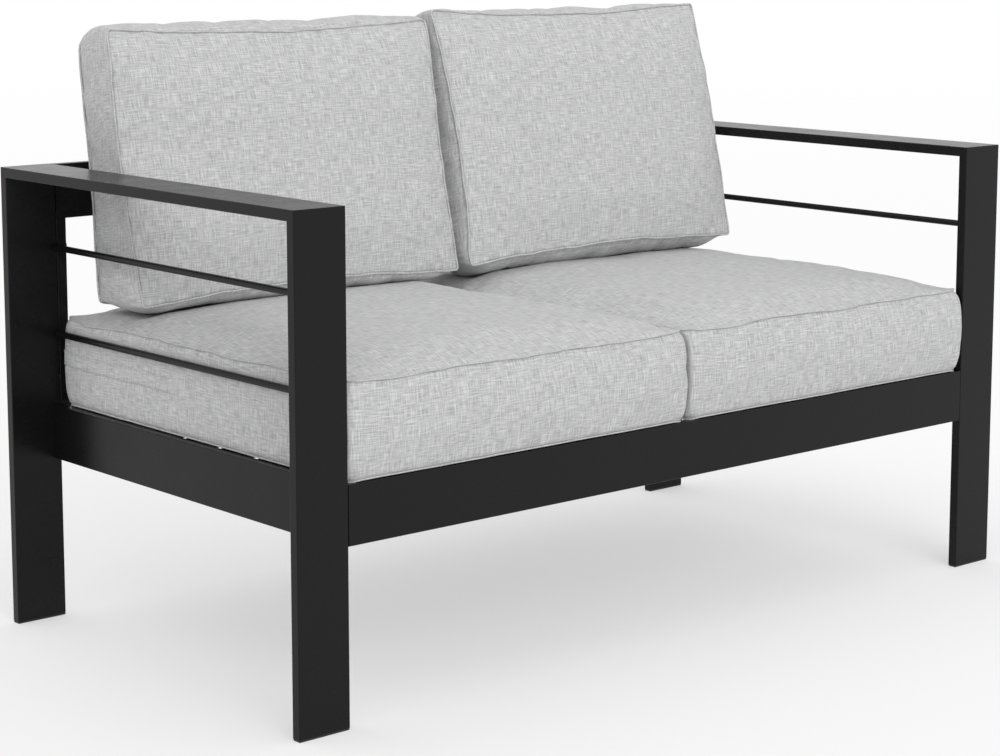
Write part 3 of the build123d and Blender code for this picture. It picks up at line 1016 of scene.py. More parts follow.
@dataclass
class BoxCushion:
    """A box cushion: two panels joined by a boxing strip, blown up by a cloth simulation.

    It is built about the middle of its boxing: x across, y from near to far, z out of the upper panel.
    On the flat cloth the lower panel and the boxing lie apart from the upper panel, as the lay values say.
    """

    kind: CushionKind
    side: Side
    width: float
    length: float
    boxing: float
    upper_seam: SeamLine
    lower_seam: SeamLine
    waist: SeamLine
    upper_crown: float
    lower_crown: float
    zip_run: ZipRun
    place: Matrix
    seed: int
    step: float = 11 * MM
    edge_steps: tuple[float, ...] = (3.2 * MM, 5 * MM, 8 * MM)
    groove_width: float = 24 * MM
    groove_depth: float = 7 * MM
    groove_wall: float = 1 * MM
    groove_reach: float = 11.2 * MM
    slow_wave: float = 1.6 * MM
    slow_waves: tuple[int, ...] = (9, 14, 21)
    quick_wave: float = 0.7 * MM
    quick_waves: tuple[int, ...] = (37, 46, 58)
    height_waves: tuple[int, ...] = (8, 15, 23, 41)
    panel_swell: float = 1.3 * MM
    swell_length: float = 170 * MM
    quick_ease: float = 13 * MM
    quick_rise_share: float = 0.45
    slow_ease_share: float = 0.13
    start_share: float = 0.85
    pressure: float = 4.0
    point_mass: float = 0.004
    stretch_stiffness: float = 15.0
    shear_stiffness: float = 5.0
    bending_stiffness: float = 0.05
    growth: float = 0.01
    cap: float = 10 * MM
    frames: int = 20
    foam_inset: float = 10 * MM
    near_corner_fullness: float = 1.0
    far_corner_fullness: float = 1.0
    corner_reach: float = 24 * MM
    welt_half_width: float = 1.4 * MM
    welt_sunk: float = 0.3 * MM
    seam_depth: float = 2 * MM
    pull_reach: float = 14 * MM
    inner_gap: float = 0.6 * MM
    limit_reach: float = 1 * MM
    lower_panel_lay: tuple[float, float] = (2.0, 0.0)
    boxing_lay: float = 4.0
    rings: list[list[int]] = field(default_factory=list)

    @property
    def name(self) -> str:
        """The start of every piece's name."""
        return f"{self.side.label}_{self.kind.value}_cushion"

    @property
    def columns(self) -> int:
        """How many cells a panel has across."""
        return len(self.grid_lines(self.width)) - 1

    @property
    def rows(self) -> int:
        """How many cells a panel has from near to far."""
        return len(self.grid_lines(self.length)) - 1

    def grid_lines(self, span: float) -> np.ndarray:
        """Spaces a panel's grid, closer together near its ends.

        Args:
            span: the length of the side.

        Returns:
            The shares of the side at which the grid's lines lie.
        """
        ends = np.cumsum(self.edge_steps)
        rest = span - 2 * ends[-1]
        count = max(int(round(rest / self.step)), 2)
        middle = ends[-1] + rest * np.arange(1, count) / count
        lines = np.concatenate(([0.0], ends, middle, span - ends[::-1], [span]))
        return lines / span

    def band_lines(self) -> np.ndarray:
        """Spaces the rings of the boxing, with a pair at each lip of the zip.

        Returns:
            The shares of the boxing's height at which its rings lie.
        """
        ends = np.cumsum(self.edge_steps)
        lip = (self.boxing - self.groove_width) / 2
        count = max(int(round((lip - ends[-1]) / self.step)), 1)
        between = ends[-1] + (lip - ends[-1]) * np.arange(1, count + 1) / count
        half = np.concatenate(([0.0], ends, between, [lip + self.groove_wall])) / self.boxing
        return np.concatenate((half, [0.5], 1 - half[::-1]))

    def outline(
        self, half: tuple[float, float], radius: float
    ) -> tuple[np.ndarray, np.ndarray, np.ndarray]:
        """A rounded rectangle, counter-clockwise from the middle of its near left corner.

        Args:
            half: half its width and half its length.
            radius: its corner radius.

        Returns:
            Points, outward normals and the place of each along its side, from 0 to 1.
        """
        side_lines = (self.grid_lines(self.width)[:-1], self.grid_lines(self.length)[:-1])
        arc = math.pi * radius / 4
        points, normals = [], []
        for index in range(4):
            lines = side_lines[index % 2]
            reach, depth = (half[0], half[1]) if index % 2 == 0 else (half[1], half[0])
            straight = 2 * (reach - radius)
            run = lines * (straight + 2 * arc)
            turn = (np.minimum(run - arc, 0) + np.maximum(run - arc - straight, 0)) / radius
            middle = np.clip(run - arc, 0, straight) - straight / 2
            local = np.stack((middle + radius * np.sin(turn), -depth + radius * (1 - np.cos(turn))), 1)
            facing = np.stack((np.sin(turn), -np.cos(turn)), 1)
            angle = index * math.pi / 2
            rotation = np.array(((math.cos(angle), -math.sin(angle)), (math.sin(angle), math.cos(angle))))
            points.append(local @ rotation.T)
            normals.append(facing @ rotation.T)
        shares = np.concatenate((*side_lines, *side_lines))
        return np.concatenate(points), np.concatenate(normals), shares

    def seam_points(self, line: SeamLine, seed: int) -> tuple[np.ndarray, np.ndarray]:
        """One seam loop, a little uneven as sewn and filled cushions are.

        Args:
            line: where the seam runs.
            seed: fixes its unevenness.

        Returns:
            Its points, and about how far each is from the nearest corner.
        """
        half = (self.width / 2 - line.sides, (self.length - line.near - line.far) / 2)
        plan, facing, shares = self.outline(half, line.corner_radius)
        turns = np.arange(len(plan)) / len(plan)
        slow = line.waviness * self.slow_wave
        outward = self.side.value * facing[:, 0]
        drawn = line.draw_in + line.draw_ends * np.abs(facing[:, 1])
        drawn += line.draw_inner * np.maximum(-outward, 0) + line.draw_outer * np.maximum(outward, 0)
        inward = drawn * np.sin(math.pi * shares)
        inward += ripple(turns, self.slow_waves, slow, seed)
        inward += ripple(turns, self.quick_waves, line.waviness * self.quick_wave, seed + 1)
        plan = plan - facing * inward[:, None]
        plan[:, 1] += (line.near - line.far) / 2
        reach = plan[:, 1] / self.length + 0.5
        from_corner = self.width / 2 - np.abs(plan[:, 0])
        by_corner = np.exp(-((from_corner / line.lift_reach) ** 2))
        plan[:, 1] += line.near_corner_lift * by_corner * (1 - smooth_step(2 * reach))
        plan[:, 1] += line.far_corner_lift * by_corner * smooth_step(2 * reach - 1)
        height = line.height_far + (line.height_near - line.height_far) * (1 - reach) ** 2
        height = height + ripple(turns, self.height_waves, slow, seed + 2)
        to_corner = np.minimum(shares, 1 - shares) * min(self.width, self.length)
        height += line.ears * np.exp(-((to_corner / line.ear_reach) ** 2))
        return np.column_stack((plan, height)), to_corner

    def patch(self, loop: np.ndarray) -> np.ndarray:
        """A surface stretched over a seam loop, without any crown.

        Args:
            loop: the seam's points.

        Returns:
            Points by column and row.
        """
        columns, rows = self.columns, self.rows
        near = loop[: columns + 1]
        right = loop[columns : columns + rows + 1]
        far = loop[columns + rows : 2 * columns + rows + 1][::-1]
        left = np.concatenate((loop[2 * columns + rows :], loop[:1]))[::-1]
        u = self.grid_lines(self.width)[:, None, None]
        v = self.grid_lines(self.length)[None, :, None]
        ruled = (1 - v) * near[:, None] + v * far[:, None] + (1 - u) * left[None] + u * right[None]
        near_corners = (1 - u) * (1 - v) * near[0] + u * (1 - v) * near[-1]
        far_corners = (1 - u) * v * far[0] + u * v * far[-1]
        return ruled - near_corners - far_corners

    def rise(self, places: np.ndarray) -> np.ndarray:
        """How far up its crown the upper panel is at each place: steep at the seam, then slow."""
        return self.side_rise(places[..., 0], self.width) * self.side_rise(places[..., 1], self.length)

    def lower_rise(self, places: np.ndarray) -> np.ndarray:
        """How far out the lower panel is at each place."""
        return self.rise(places)

    def side_rise(self, place: np.ndarray, span: float) -> np.ndarray:
        """How far up the crown is, as two facing sides hold it down.

        Args:
            place: where the points are between the two sides, from the middle.
            span: the distance between the sides.

        Returns:
            The share of the crown at each point.
        """
        inside = np.clip(span / 2 - np.abs(place), 0, None)
        quick = 1 - np.exp(-inside / self.quick_ease)
        slow = 1 - np.exp(-inside / (self.slow_ease_share * span))
        return self.quick_rise_share * quick + (1 - self.quick_rise_share) * slow

    def boxing_loops(self) -> list[np.ndarray]:
        """Lays the boxing between its seams, fullest at half its height.

        Returns:
            The points of each ring, from the lower seam to the upper one.
        """
        upper, to_corner = self.seam_points(self.upper_seam, self.seed)
        lower, _ = self.seam_points(self.lower_seam, self.seed + 5)
        waist, _ = self.seam_points(self.waist, self.seed + 9)
        belly = (waist - (lower + upper) / 2) * (1, 1, 0)
        reach = np.clip(upper[:, 1] / self.length + 0.5, 0, 1)
        fullness = self.near_corner_fullness * (1 - reach) + self.far_corner_fullness * reach
        pulled = (1 - fullness) * np.exp(-((to_corner / self.corner_reach) ** 2))
        belly *= 1 - pulled[:, None]
        return [
            lower + (upper - lower) * share + belly * math.sqrt(4 * share * (1 - share))
            for share in self.band_lines()
        ]

    def rim(self) -> list[int]:
        """Finds the points of a panel's grid that lie on its seam.

        Returns:
            The place of each in the panel's points, in the order of the seam loop.
        """
        columns, rows = self.columns, self.rows
        cells = (
            [(column, 0) for column in range(columns)]
            + [(columns, row) for row in range(rows)]
            + [(column, rows) for column in range(columns, 0, -1)]
            + [(0, row) for row in range(rows, 0, -1)]
        )
        return [column * (rows + 1) + row for column, row in cells]

    def form(self) -> tuple[np.ndarray, list[list[int]], np.ndarray]:
        """Lays out the whole cover before it is blown up, and notes its rings.

        Returns:
            Its points, its faces, and where each face corner lies on the flat cloth.
        """
        boxing = self.boxing_loops()
        upper = self.patch(boxing[-1])
        lower = self.patch(boxing[0])
        lay = upper[..., :2].reshape(-1, 2).copy()
        upper_rise = self.rise(upper)
        swelling = swell(lay, self.swell_length, self.panel_swell, self.seed + 11)
        lower[..., 2] -= self.start_share * self.lower_crown * self.lower_rise(lower)
        upper[..., 2] += self.start_share * self.upper_crown * upper_rise
        upper[..., 2] += upper_rise * swelling.reshape(upper_rise.shape)
        size = len(lay)
        rim = self.rim()
        count = len(rim)
        starts = range(2 * size, 2 * size + (len(boxing) - 2) * count, count)
        between = [list(range(start, start + count)) for start in starts]
        self.rings = [[size + place for place in rim], *between, rim]
        columns, rows = self.columns, self.rows
        faces, corners = [], []
        for column in range(columns):
            for row in range(rows):
                start = column * (rows + 1) + row
                cell = [start, start + rows + 1, start + rows + 2, start + 1]
                faces.append(cell)
                corners.extend(lay[cell])
                faces.append([size + place for place in reversed(cell)])
                corners.extend(lay[cell[::-1]] + self.lower_panel_lay)
        runs = path_runs(boxing[len(boxing) // 2], closed=True) + self.boxing_lay
        heights = self.band_lines() * self.boxing
        for index in range(count):
            for band in range(len(boxing) - 1):
                around = ((index, band), (index + 1, band), (index + 1, band + 1), (index, band + 1))
                faces.append([self.rings[level][turn % count] for turn, level in around])
                corners.extend((runs[turn], heights[level]) for turn, level in around)
        points = np.concatenate((upper.reshape(-1, 3), lower.reshape(-1, 3), *boxing[1:-1]))
        return points, faces, np.array(corners)

    def seam_distances(self) -> np.ndarray:
        """How far each point of the cover is from the nearest seam.

        Returns:
            The distances, for the upper panel, the lower panel and the boxing.
        """
        across = self.grid_lines(self.width)
        along = self.grid_lines(self.length)
        to_side = np.minimum(across, 1 - across)[:, None] * self.width
        to_end = np.minimum(along, 1 - along)[None, :] * self.length
        panel = np.minimum(to_side, to_end).ravel()
        lines = self.band_lines()
        band = np.minimum(lines, 1 - lines)[1:-1] * self.boxing
        return np.concatenate((panel, panel, np.repeat(band, len(self.rings[0]))))

    def inflate(self, piece: bpy.types.Object) -> np.ndarray:
        """Blows the cover up with its seams held.

        Args:
            piece: the cover, still without any modifier.

        Returns:
            Its new points.
        """
        start = mesh_points(piece)
        pins = piece.vertex_groups.new(name="seams")
        pins.add(self.rings[0] + self.rings[-1], 1.0, "REPLACE")
        cloth = piece.modifiers.new("fill", "CLOTH")
        settings = cloth.settings
        settings.quality = 5
        settings.mass = self.point_mass
        settings.tension_stiffness = self.stretch_stiffness
        settings.compression_stiffness = self.stretch_stiffness
        settings.shear_stiffness = self.shear_stiffness
        settings.bending_stiffness = self.bending_stiffness
        settings.use_pressure = True
        settings.uniform_pressure_force = self.pressure
        settings.shrink_min = -self.growth
        settings.vertex_group_mass = "seams"
        settings.effector_weights.gravity = 0.0
        cloth.collision_settings.use_collision = False
        cloth.point_cache.frame_start = 1
        cloth.point_cache.frame_end = self.frames
        scene = bpy.context.scene
        for number in range(1, self.frames + 1):
            scene.frame_set(number)
        swollen = mesh_points(piece)
        piece.modifiers.remove(cloth)
        piece.vertex_groups.remove(pins)
        scene.frame_set(1)
        move = swollen - start
        size = np.linalg.norm(move, axis=1, keepdims=True)
        log.info("%s swelled by up to %.1f mm", self.name, float(size.max()) / MM)
        return start + move * np.minimum(1.0, self.cap / np.maximum(size, 1e-9))

    def keep_clear(self, points: np.ndarray) -> np.ndarray:
        """Keeps the cover on its own side of the loveseat's middle.

        Args:
            points: the cover's points, in the scene's frame.

        Returns:
            The points, moved where they reached too far.
        """
        held = points.copy()
        sign = self.side.value
        held[:, 0] = -sign * soft_limit(-sign * held[:, 0], -self.inner_gap, self.limit_reach)
        return held

    def open_zip(self, points: np.ndarray) -> np.ndarray:
        """Sinks the boxing along the zip, so that the zip and its slider show.

        Args:
            points: the cover's points about the cushion's middle.

        Returns:
            The points with the groove.
        """
        sunk = points.copy()
        run = self.zip_run
        across = 1 - run.side.run_axis
        half = (self.width, self.length)[across] / 2
        for ring, share in zip(np.array(self.rings), self.band_lines()):
            if abs(share - 0.5) * self.boxing > self.groove_width / 2 - self.groove_wall / 2:
                continue
            along = sunk[ring, run.side.run_axis]
            on_side = run.side.outward * sunk[ring, across] > half - self.groove_reach
            chosen = ring[on_side & (along > run.start) & (along < run.end)]
            sunk[chosen, across] = run.side.outward * (half - self.groove_depth)
        return sunk

    def build(self, finishes: Finishes) -> list[bpy.types.Object]:
        """Makes the cover with its seams, and the foam inside.

        Args:
            finishes: the material of each slot, and of the thread.

        Returns:
            The pieces, all riding on the cushion's body.
        """
        fabric = finishes["cover_fabric"]
        points, faces, corners = self.form()
        cover = mesh_piece(f"{self.name}_woven_cover", self.to_world(points), faces, fabric)
        set_cloth_map(cover, corners)
        shaped = self.keep_clear(self.inflate(cover))
        cover.data.vertices.foreach_set("co", shaped.ravel())
        cover.data.update()
        facing = np.zeros(len(shaped) * 3)
        cover.data.vertex_normals.foreach_get("vector", facing)
        facing = facing.reshape(-1, 3)
        made = [cover]
        for label, ring in (("upper", self.rings[-1]), ("lower", self.rings[0])):
            made.append(self.welt(label, shaped[ring], facing[ring], fabric))
        made.extend(self.trims(shaped, finishes))
        self.finish_cover(cover, shaped, facing)
        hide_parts(f"{self.name}_cover")
        core = self.foam_core(points, faces, finishes["foam"])
        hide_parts(f"{self.name}_foam")
        made.append(core)
        for piece in made:
            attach(piece, self.name)
        return made

    def trims(self, shaped: np.ndarray, finishes: Finishes) -> list[bpy.types.Object]:
        """What is sewn on the boxing. A plain cushion has nothing there."""
        return []

    def to_world(self, points: np.ndarray) -> np.ndarray:
        """Points about the cushion's middle brought to its place."""
        return points @ np.array(self.place.to_3x3()).T + np.array(self.place.translation)

    def to_local(self, points: np.ndarray) -> np.ndarray:
        """Points in the scene brought about the cushion's middle."""
        return (points - np.array(self.place.translation)) @ np.array(self.place.to_3x3())

    def finish_cover(self, cover: bpy.types.Object, shaped: np.ndarray, facing: np.ndarray) -> None:
        """Opens the zip, draws the seam lines in, marks them for the material's painted seam shade and
        puckers, and smooths the cover.

        Args:
            cover: the cover.
            shaped: its points.
            facing: the normals at its points.
        """
        seams = self.rings[0] + self.rings[-1]
        drawn = self.to_world(self.open_zip(self.to_local(shaped)))
        drawn[seams] -= self.seam_depth * facing[seams]
        cover.data.vertices.foreach_set("co", drawn.ravel())
        on_seam = np.zeros(len(shaped))
        on_seam[seams] = 1.0
        # painted shade: the mask along the seams, with which the fabric paints the seam creases dark
        set_point_value(cover, "painted_shade_mask", on_seam)
        set_point_value(cover, "seam_pull", np.exp(-self.seam_distances() / self.pull_reach))
        ends = np.zeros(len(cover.data.edges) * 2, dtype=np.int64)
        cover.data.edges.foreach_get("vertices", ends)
        ends = ends.reshape(-1, 2)
        sharp = (on_seam[ends[:, 0]] > 0) & (on_seam[ends[:, 1]] > 0)
        crease = cover.data.attributes.new("crease_edge", "FLOAT", "EDGE")
        crease.data.foreach_set("value", sharp.astype(np.float32))
        cover.data.update()
        round_off(cover)
        if "crease_edge" in cover.data.attributes:
            cover.data.attributes.remove(cover.data.attributes["crease_edge"])

    def welt(
        self, label: str, line: np.ndarray, facing: np.ndarray, fabric: bpy.types.Material
    ) -> bpy.types.Object:
        """The thin ridge in which a seam's edges are turned in.

        Args:
            label: which seam it is.
            line: the seam's points.
            facing: the cover's normals there.
            fabric: the finish.

        Returns:
            The ridge, a closed tube.
        """
        sides = 8
        height_share = 1.15
        ahead = unit(np.roll(line, -1, 0) - np.roll(line, 1, 0))
        across = unit(np.cross(ahead, facing))
        out = np.cross(across, ahead)
        angles = 2 * math.pi * np.arange(sides) / sides
        round_about = (
            np.cos(angles)[None, :, None] * across[:, None]
            + height_share * np.sin(angles)[None, :, None] * out[:, None]
        )
        points = (line - self.welt_sunk * out)[:, None] + self.welt_half_width * round_about
        runs = path_runs(line, closed=True)
        girth = 2 * math.pi * self.welt_half_width / sides
        faces, corners = [], []
        for index in range(len(line)):
            for turn in range(sides):
                cell = ((index, turn), (index + 1, turn), (index + 1, turn + 1), (index, turn + 1))
                faces.append([place % len(line) * sides + angle % sides for place, angle in cell])
                corners.extend((runs[place], angle * girth) for place, angle in cell)
        ridge = mesh_piece(f"{self.name}_{label}_welt", points.reshape(-1, 3), faces, fabric)
        set_cloth_map(ridge, np.array(corners))
        round_off(ridge)
        return ridge

    def foam_core(
        self, points: np.ndarray, faces: list[list[int]], foam: bpy.types.Material
    ) -> bpy.types.Object:
        """Makes the foam block, a little smaller than the cover all round.

        Args:
            points: the cover's points about the cushion's middle.
            faces: the cover's faces.
            foam: the finish.

        Returns:
            The block.
        """
        low = points.min(axis=0)
        high = points.max(axis=0)
        share = 1 - 2 * self.foam_inset / (high - low)
        middle = (low + high) / 2
        block = middle + (points - middle) * share
        core = mesh_piece(f"{self.name}_foam_block", self.to_world(block), faces, foam)
        return core


@dataclass
class SeatCushion(BoxCushion):
    """A seat cushion, flat below where it lies on the slats, with a flap round its rear.

    The flap's tuck and the stitches' rise are shares of how far the flap stands proud.
    The stitch taper gives each ring's place along the stitch and its girth, as shares.
    """

    floor: float = 300.3 * MM
    front_limit: float = -342 * MM
    rear_limit: float = 315 * MM
    outer_limit: float = 569.7 * MM
    pressed_top: float = 431.2 * MM
    pressed_from: float = 128 * MM
    pressed_over: float = 44 * MM
    flap_low: float = 0.45
    flap_high: float = 0.625
    flap_proud: float = 1.3 * MM
    flap_lip: float = 0.6 * MM
    flap_hem: float = 2.2 * MM
    flap_past_corner: int = 3
    flap_lay: float = 7.0
    flap_tuck: float = -0.6
    # painted shade: how dark the flap's edges and its end are painted
    flap_edge_shade: float = 0.8
    flap_end_shade: float = 0.5
    stitch_rise: float = 1.05
    stitch_pitch: float = 4.2 * MM
    stitch_length: float = 3.1 * MM
    stitch_radius: float = 0.35 * MM
    stitch_sides: int = 6
    stitch_taper: tuple[tuple[float, float], ...] = ((0.0, 0.25), (0.15, 1.0), (0.85, 1.0), (1.0, 0.25))
    underside_ease: float = 4 * MM
    headroom: float = 30 * MM

    def lower_rise(self, places: np.ndarray) -> np.ndarray:
        """How far out the lower panel is, which is flat right up to its seam.

        Args:
            places: points on the panel.

        Returns:
            The share of the crown at each point.
        """
        to_side = np.clip(self.width / 2 - np.abs(places[..., 0]), 0, None)
        to_end = np.clip(self.length / 2 - np.abs(places[..., 1]), 0, None)
        return 1 - np.exp(-np.minimum(to_side, to_end) / self.underside_ease)

    def keep_clear(self, points: np.ndarray) -> np.ndarray:
        """Keeps the cover above the slats, between the legs, and pressed flat under the back cushion.

        Args:
            points: the cover's points, in the scene's frame.

        Returns:
            The points, moved where they reached too far.
        """
        held = super().keep_clear(points)
        sign = self.side.value
        held[:, 0] = sign * soft_limit(sign * held[:, 0], self.outer_limit, self.limit_reach)
        held[:, 1] = np.clip(held[:, 1], self.front_limit, self.rear_limit)
        free = 1 - smooth_step((held[:, 1] - self.pressed_from) / self.pressed_over)
        held[:, 2] = np.clip(held[:, 2], self.floor, self.pressed_top + free * self.headroom)
        return held

    def flap_columns(self) -> list[int]:
        """Finds where the flap runs: round the rear, then left as far as the zip goes on the right.

        Returns:
            The places in a ring of the boxing that it runs over.
        """
        rear_right = self.columns + self.rows
        rear_left = rear_right + self.columns
        front_end = (self.length / 2 - self.zip_run.start) / self.length
        end = rear_left + int(np.searchsorted(self.grid_lines(self.length), front_end))
        return list(range(rear_right - self.flap_past_corner, end + 1))

    def boxing_line(self, shaped: np.ndarray, share: float) -> np.ndarray:
        """Follows the boxing along the flap.

        Args:
            shaped: the cover's points.
            share: how high up the boxing the line runs.

        Returns:
            The line's points.
        """
        lines = self.band_lines()
        band = int(np.clip(np.searchsorted(lines, share) - 1, 0, len(lines) - 2))
        part = (share - lines[band]) / (lines[band + 1] - lines[band])
        below, above = shaped[self.rings[band]], shaped[self.rings[band + 1]]
        return (below * (1 - part) + above * part)[self.flap_columns()]

    def trims(self, shaped: np.ndarray, finishes: Finishes) -> list[bpy.types.Object]:
        """Makes the flap and its two rows of stitches.

        Args:
            shaped: the cover's points.
            finishes: the material of each slot, and of the thread.

        Returns:
            The flap and the stitches.
        """
        low, high = self.flap_low, self.flap_high
        ahead = unit(np.gradient(self.boxing_line(shaped, (low + high) / 2), axis=0))
        up = unit(self.boxing_line(shaped, high) - self.boxing_line(shaped, low))
        out = unit(np.cross(ahead, up))
        hem = self.flap_hem / self.boxing
        stitched = [
            self.boxing_line(shaped, share) + self.stitch_rise * self.flap_proud * out
            for share in (low + hem, high - hem)
        ]
        flap = self.flap(shaped, out, finishes["cover_fabric"])
        return [flap, self.stitches(stitched, out, finishes["thread"])]

    def flap(self, shaped: np.ndarray, out: np.ndarray, fabric: bpy.types.Material) -> bpy.types.Object:
        """Makes the flap: a strip that stands proud of the boxing, with its edges tucked in.

        Args:
            shaped: the cover's points.
            out: the outward direction along the flap.
            fabric: the finish.

        Returns:
            The flap.
        """
        low, high = self.flap_low, self.flap_high
        lip = self.flap_lip / self.boxing
        levels = (low - lip, low, low + 2 * lip, (low + high) / 2, high - 2 * lip, high, high + lip)
        proud_shares = (self.flap_tuck, 0.8, 1.0, 1.1, 1.0, 0.8, self.flap_tuck)
        count = len(out)
        grid = []
        for share, proud in zip(levels, proud_shares):
            offset = np.full(count, proud * self.flap_proud)
            offset[[0, -1]] = self.flap_tuck * self.flap_proud
            grid.append(self.boxing_line(shaped, share) + offset[:, None] * out)
        runs = path_runs(self.boxing_line(shaped, (low + high) / 2), closed=False) + self.flap_lay
        heights = np.array(levels) * self.boxing
        faces, corners = [], []
        for row in range(len(levels) - 1):
            for column in range(count - 1):
                cell = ((row, column), (row, column + 1), (row + 1, column + 1), (row + 1, column))
                faces.append([level * count + place for level, place in cell])
                corners.extend((runs[place], heights[level]) for level, place in cell)
        strip = mesh_piece(f"{self.name}_zip_flap", np.concatenate(grid), faces, fabric)
        set_cloth_map(strip, np.array(corners))
        # painted shade along the flap's edges and near its end, where it stands proud of the boxing
        shade = np.zeros((len(levels), count))
        shade[[1, -2]] = self.flap_edge_shade
        shade[:, -2] = np.maximum(shade[:, -2], self.flap_end_shade)
        set_point_value(strip, "painted_shade_mask", shade.ravel())
        round_off(strip)
        return strip

    def stitches(
        self, lines: list[np.ndarray], out: np.ndarray, thread: bpy.types.Material
    ) -> bpy.types.Object:
        """Short raised stitches along lines on the flap.

        Args:
            lines: the points of each row.
            out: the outward direction at each point.
            thread: the finish.

        Returns:
            All stitches, as one piece.
        """
        sides = self.stitch_sides
        angles = 2 * math.pi * np.arange(sides) / sides
        points, faces = [], []
        for line in lines:
            runs = path_runs(line, closed=False)
            starts = np.arange(self.stitch_pitch, runs[-1] - 2 * self.stitch_pitch, self.stitch_pitch)
            for start in starts:
                places = [
                    value_along(line, runs, start + share * self.stitch_length)
                    for share, _ in self.stitch_taper
                ]
                raised = value_along(out, runs, start)
                ahead = unit(places[-1] - places[0])
                across = unit(np.cross(ahead, raised))
                base = len(points)
                spokes = [math.cos(angle) * across + math.sin(angle) * raised for angle in angles]
                for place, (_, girth) in zip(places, self.stitch_taper):
                    points.extend(place + girth * self.stitch_radius * spoke for spoke in spokes)
                last = base + (len(places) - 1) * sides
                for low in range(base, last, sides):
                    for turn in range(sides):
                        other = (turn + 1) % sides
                        faces.append([low + turn, low + sides + turn, low + sides + other, low + other])
                faces.append(list(range(base, base + sides)))
                faces.append(list(reversed(range(last, last + sides))))
        made = mesh_piece(f"{self.name}_flap_stitches", np.array(points), faces, thread)
        return made


@dataclass
class BackCushion(BoxCushion):
    """A back cushion, leaning on the top rail and standing on a seat cushion."""

    zip_place: Matrix = field(default_factory=Matrix)
    zip_rise: float = 0.0
    rail_face: float = 319.4 * MM
    rail_top: float = 632 * MM
    overhang: float = 14 * MM
    overhang_rise: float = 25 * MM
    landing: float = 431.8 * MM
    outer_limit: float = 558 * MM
    outer_reach: float = 5 * MM
    zip_side_reach: float = 40 * MM
    zip_release: float = 30 * MM

    def keep_clear(self, points: np.ndarray) -> np.ndarray:
        """Keeps the cover in front of the top rail, swelling over its top, and flat where it lands.

        Args:
            points: the cover's points, in the scene's frame.

        Returns:
            The points, moved where they reached too far.
        """
        held = super().keep_clear(points)
        sign = self.side.value
        held[:, 0] = sign * soft_limit(sign * held[:, 0], self.outer_limit, self.outer_reach)
        over = smooth_step((held[:, 2] - self.rail_top) / self.overhang_rise)
        held[:, 1] = np.minimum(held[:, 1], self.rail_face + over * self.overhang)
        held[:, 2] = np.maximum(held[:, 2], self.landing)
        return held

    def open_zip(self, points: np.ndarray) -> np.ndarray:
        """Brings the boxing of a slumped cushion back to the zip, and opens it there.

        Args:
            points: the cover's points about the cushion's middle.

        Returns:
            The points with the groove.
        """
        turn = np.array(self.zip_place.to_3x3())
        origin = np.array(self.zip_place.translation)
        upright = (self.to_world(points) - origin) @ turn
        middle = upright[self.rings[len(self.rings) // 2]]
        near = middle[:, 1] < self.zip_side_reach - self.length / 2
        past_end = np.maximum(np.abs(middle[:, 0]) - self.zip_run.end, 0)
        hold = np.where(near, 1 - smooth_step(past_end / self.zip_release), 0)
        level = self.zip_rise - self.length / 2
        offset = np.column_stack((np.zeros(len(middle)), level - middle[:, 1], -middle[:, 2]))
        for ring, share in zip(self.rings, self.band_lines()):
            weight = hold * math.sqrt(4 * share * (1 - share))
            upright[ring] += offset * weight[:, None]
        opened = super().open_zip(upright)
        return self.to_local(opened @ turn.T + origin)


# Frame


@dataclass
class CoatedFrame:
    """The metal frame and its small parts: the CAD nodes with their finishes."""

    slots: dict[str, str] = field(default_factory=dict)

    def __post_init__(self) -> None:
        """Reads which slot each node has."""
        self.slots = {part["node"]: part["material_slot"] for part in frame["record"]["subparts"]}

    def dress(self, finishes: Finishes) -> None:
        """Gives each CAD node the finish of its material slot.

        Args:
            finishes: the material of each slot.
        """
        for name, piece in frame["nodes"].items():
            material = finishes[self.slots[name]]
            piece.data.materials.clear()
            piece.data.materials.append(material)
            log.info("dressed %s with %s", name, material.name)


# Studio


